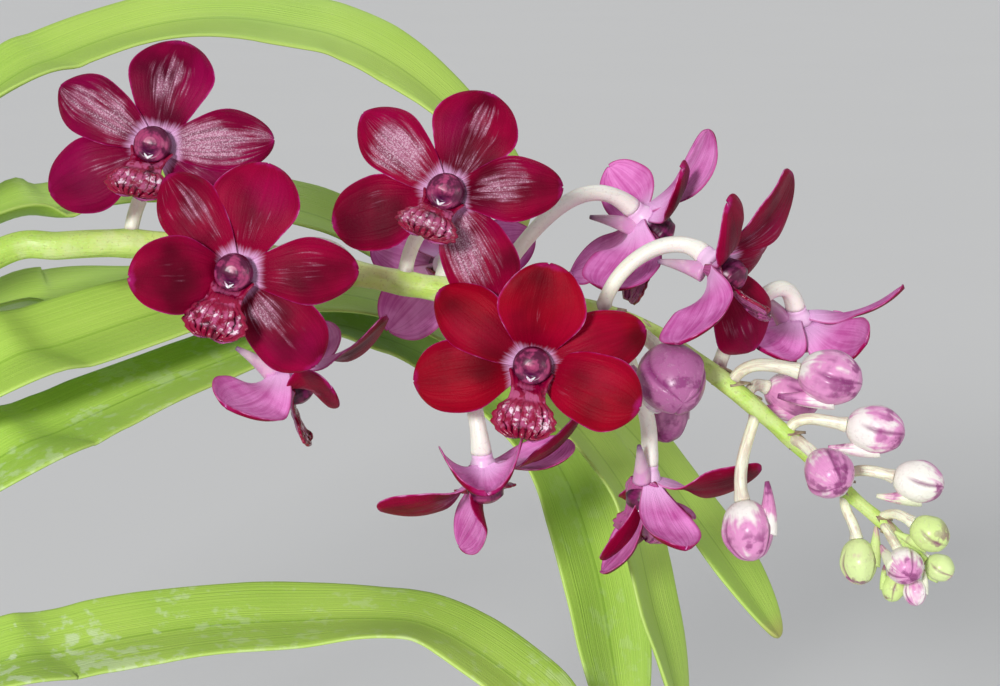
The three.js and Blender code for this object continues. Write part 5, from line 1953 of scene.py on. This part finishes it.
BUDS = (
    Bud("bud_1", (672, 379, -16), (0.25, -0.62, 0.74), (-0.6, -0.7, -0.3),
        16, 14.5, (640, 328, 0), (0.3, -0.6, 0.7), 1.0),
    Bud("bud_2", (664, 412, 10), (0.12, -0.98, 0.1), (0.9, 0, -0.4),
        13.5, 10.5, (660, 339, 0), (-0.2, -0.8, -0.6), 0.95),
    Bud("bud_3", (831, 378, -8), (0.96, -0.22, 0.15), (-0.1, -1, 0),
        13.5, 11.8, (730, 386, -1), (0.4, 0.9, 0.1), 0.75),
    Bud("bud_4", (793, 396, 9), (0.9, -0.3, -0.3), (0, -1, 0.2),
        12.5, 10, (745, 399, -1), (0.5, 0.6, -0.6), 0.8),
    Bud("bud_5", (876, 430, -5), (0.97, -0.18, 0.15), (-0.1, -1, 0),
        12.4, 10.4, (787, 436, -2), (0.2, 0.97, 0), 0.5),
    Bud("bud_6", (829, 473, -16), (0.3, -0.45, 0.84), (0.5, -0.7, -0.4),
        11.5, 10.4, (793, 441, -2), (0.1, 0.2, 1), 0.65),
    Bud("bud_7", (919, 482, -5), (0.96, -0.22, 0.12), (-0.1, -1, 0),
        10.8, 9.2, (838, 484, -3), (0.5, 0.85, 0), 0.35),
    Bud("bud_8", (748, 531, -4), (0.16, -0.97, 0.18), (1, 0.1, 0.1),
        13, 11, (757, 411, -1), (-0.3, -1, 0.1), 0.6),
    Bud("bud_9", (859, 562, -4), (0.08, -0.98, 0.14), (1, 0, 0.1),
        9.8, 8, (846, 492, -3), (-0.3, -1, 0), 0.15),
    Bud("bud_10", (930, 534, -10), (0.82, -0.55, 0.15), (-0.5, -0.8, -0.3),
        8.6, 7.4, (877, 519, -4), (0.7, 0.4, 0), 0.1),
    Bud("bud_11", (905, 566, -10), (0.1, -0.5, 0.86), (-0.9, 0.2, 0.2),
        8.4, 7.8, (884, 525, -4), (0.1, -0.3, 1), 0.35),
    Bud("bud_12", (940, 568, -4), (0.75, -0.5, 0.4), (0, -1, 0),
        6.4, 5.8, (905, 542, -4), (0.7, 0.4, 0.2), 0.15),
    Bud("bud_13", (893, 588, -4), (-0.2, -0.97, 0.15), (-1, 0, 0),
        6, 5, (908, 546, -4), (-0.6, -0.8, -0.2), 0.1),
    Bud("bud_14", (915, 592, -6), (0.1, -0.95, 0.3), (1, 0, 0),
        6, 5, (917, 554, -5), (0, -1, 0), 0.4),
)


# Flower stalk


@dataclass
class FlowerStalk:
    """The arching stalk with every pedicel and scale. Its hidden start is points, the rest is as seen."""

    radius: float = 3.2
    tip_radius: float = 1.1
    pedicel_radius: float = 1.75
    foot: tuple[Point, ...] = ((2, -5, 244), (12, -16, 268), (30, -13, 294))
    seen: tuple[Point, ...] = (
        (0, 253, -4), (60, 246, -3), (120, 243, -1), (180, 246, 1), (240, 253, 2), (300, 263, 2),
        (365, 275, 2), (433, 288, 2), (500, 297, 2), (560, 304, 1), (600, 313, 0), (650, 333, 0),
        (690, 357, 0), (732, 388, -1), (789, 437, -2), (843, 489, -3), (890, 529, -4), (924, 562, -5),
    )

    def path(self) -> Path:
        """Returns the stalk's line."""
        return Path.through([*self.foot, *[VIEW.point(s) for s in self.seen]])

    def nearest(self, point: Array) -> float:
        """Returns the share of the stalk's length that lies nearest to a point."""
        path = self.path()
        at = int(np.argmin(np.linalg.norm(path.samples - point, axis=1)))
        return float(path.lengths[at] / path.length)

    def main_stem(self) -> Piece:
        """Builds the stalk, a little swollen at each joint."""
        joints = [self.nearest(VIEW.point(part.start)) for part in (*BLOOMS, *BUDS)]

        def radius(turn: Array, along: Array) -> Array:
            """Thins towards the tip."""
            size = self.radius + (self.tip_radius - self.radius) * along**2.2
            swell = sum(0.1 * bump_at(along, joint, 0.009) for joint in joints)
            return size * (1 + np.minimum(swell, 0.16) + 0.03 * np.cos(5 * turn + 40 * along))

        return Skin("stalk_main", 36, 260, tube_ring(self.path(), radius), tone=0.4).build()

    def pedicel(self, part: Bloom | Bud) -> Piece:
        """Builds the pedicel of a bloom or bud, with its faint twisted ribs."""
        if isinstance(part, Bloom):
            way, back = VIEW.facing(part.faces), part.hub_back
            size, tone = self.pedicel_radius, 0.1
        else:
            way, back = VIEW.facing(part.tip), part.length / 2
            size, tone = 0.6 + 0.07 * part.width, 1 - 0.3 * part.ripe
        start, end = VIEW.point(part.start), VIEW.point(part.at) - way * (back + 0.05)
        reach = 0.42 * float(np.linalg.norm(end - start))
        path = Path.bezier([start, start + VIEW.facing(part.leaves) * reach, end - way * reach, end])

        def radius(turn: Array, along: Array) -> Array:
            """Thickens at both ends."""
            whole = 0.86 + 0.2 * along + 0.4 * bump_at(along, 0, 0.07)
            whole = whole + 0.22 * smoothstep(along, 0.85, 1.0)
            return size * whole * (1 + 0.045 * np.cos(3 * turn + 7 * along))

        return Skin(f"pedicel_{part.name}", 20, 54, tube_ring(path, radius), tone=tone).build()

    def scale(self, part: Bloom | Bud, k: int) -> Piece:
        """Builds the papery scale under a pedicel's foot."""
        foot = VIEW.point(part.start)
        leaves = VIEW.facing(part.leaves)
        ahead = unit(VIEW.facing((0.8, -0.35, 0)) + leaves * 0.55)
        above = unit(leaves - ahead * leaves.dot(ahead) + 1e-6)
        aside = np.cross(ahead, above)
        length = 5.5 if isinstance(part, Bloom) else 1.6 + 0.24 * part.width

        def place(u: Array, v: Array) -> Array:
            """Places a point of the scale."""
            half = 0.48 * length * (1 - v**1.8) + 0.06
            hollow = 0.28 * length * (1 - u * u) * (1 - v) + 0.05 * length * v * v
            curve = ahead * (length * v)[..., None] + aside * (u * half)[..., None]
            return foot + (curve + above * hollow[..., None])

        return Skin(f"scale_{part.name}", 20, 14, blade_ring(place, 0.6), tone=(k * 0.37) % 1).build()

    def dress(self) -> None:
        """Builds and finishes the stalk, the pedicels and the scales."""
        settle(self.main_stem(), StalkFinish(), Slot.STALK, "flower_stalk")
        pedicels = join("pedicels", [self.pedicel(part) for part in (*BLOOMS, *BUDS)])
        settle(pedicels, PedicelFinish(), Slot.STALK, "flower_stalk")
        scales = join("scales", [self.scale(part, k) for k, part in enumerate((*BLOOMS, *BUDS))])
        settle(scales, PaperFinish(), Slot.STALK, "flower_stalk")


# Studio


@dataclass(frozen=True)
class FarLight:
    """A soft light from far away: the way that it comes from, its strength and its breadth in degrees."""

    name: str
    source: Point
    strength: float
    breadth: float

    def add(self) -> None:
        """Adds the light."""
        data = bpy.data.lights.new(self.name, "SUN")
        data.energy, data.angle = self.strength, math.radians(self.breadth)
        light = bpy.data.objects.new(self.name, data)
        light.location = self.source
        light.rotation_euler = (-Vector(self.source)).to_track_quat("-Z", "Y").to_euler()
        bpy.context.scene.collection.objects.link(light)


@dataclass
class Studio:
    """A plain pale floor under soft light."""

    floor_size: float = 40.0
    lights: tuple[FarLight, ...] = (
        FarLight("key_light", (-0.32, -1.0, 0.3), 2.7, 9.0),
        FarLight("fill_light", (0.9, -0.6, 0.15), 0.6, 30.0),
        FarLight("back_light", (0.3, 0.7, 1.0), 0.4, 30.0),
    )
    sky: Colour = (0.94, 0.96, 1.0)
    sky_strength: float = 0.33

    def build(self) -> None:
        """Adds the floor, the lights and a pale sky."""
        clear_selection()
        bpy.ops.mesh.primitive_plane_add(size=self.floor_size)
        floor = bpy.context.object
        floor.name = floor.data.name = "floor"
        FloorFinish().cover(floor)
        for light in self.lights:
            light.add()
        world = bpy.data.worlds.new("studio")
        world.use_nodes = True
        background = next(n for n in world.node_tree.nodes if n.type == "BACKGROUND")
        background.inputs["Color"].default_value = (*self.sky, 1.0)
        background.inputs["Strength"].default_value = self.sky_strength
        bpy.context.scene.world = world
        bpy.context.scene.view_settings.view_transform = "Standard"


def main() -> None:
    """Builds every sub-assembly in order."""
    logging.basicConfig(level=logging.INFO, format="%(message)s")
    VIEW.add_camera()
    Studio().build()
    Vase().dress()
    Bark().dress()
    StemAndRoots().dress()
    for leaf in (*SEEN_LEAVES, *ARCHING_LEAVES):
        leaf.leaf().dress()
    crown_leaf().dress()
    FlowerStalk().dress()
    for part in (*BLOOMS, *BUDS):
        part.dress()
    clear_selection()


if __name__ == "__main__":
    main()
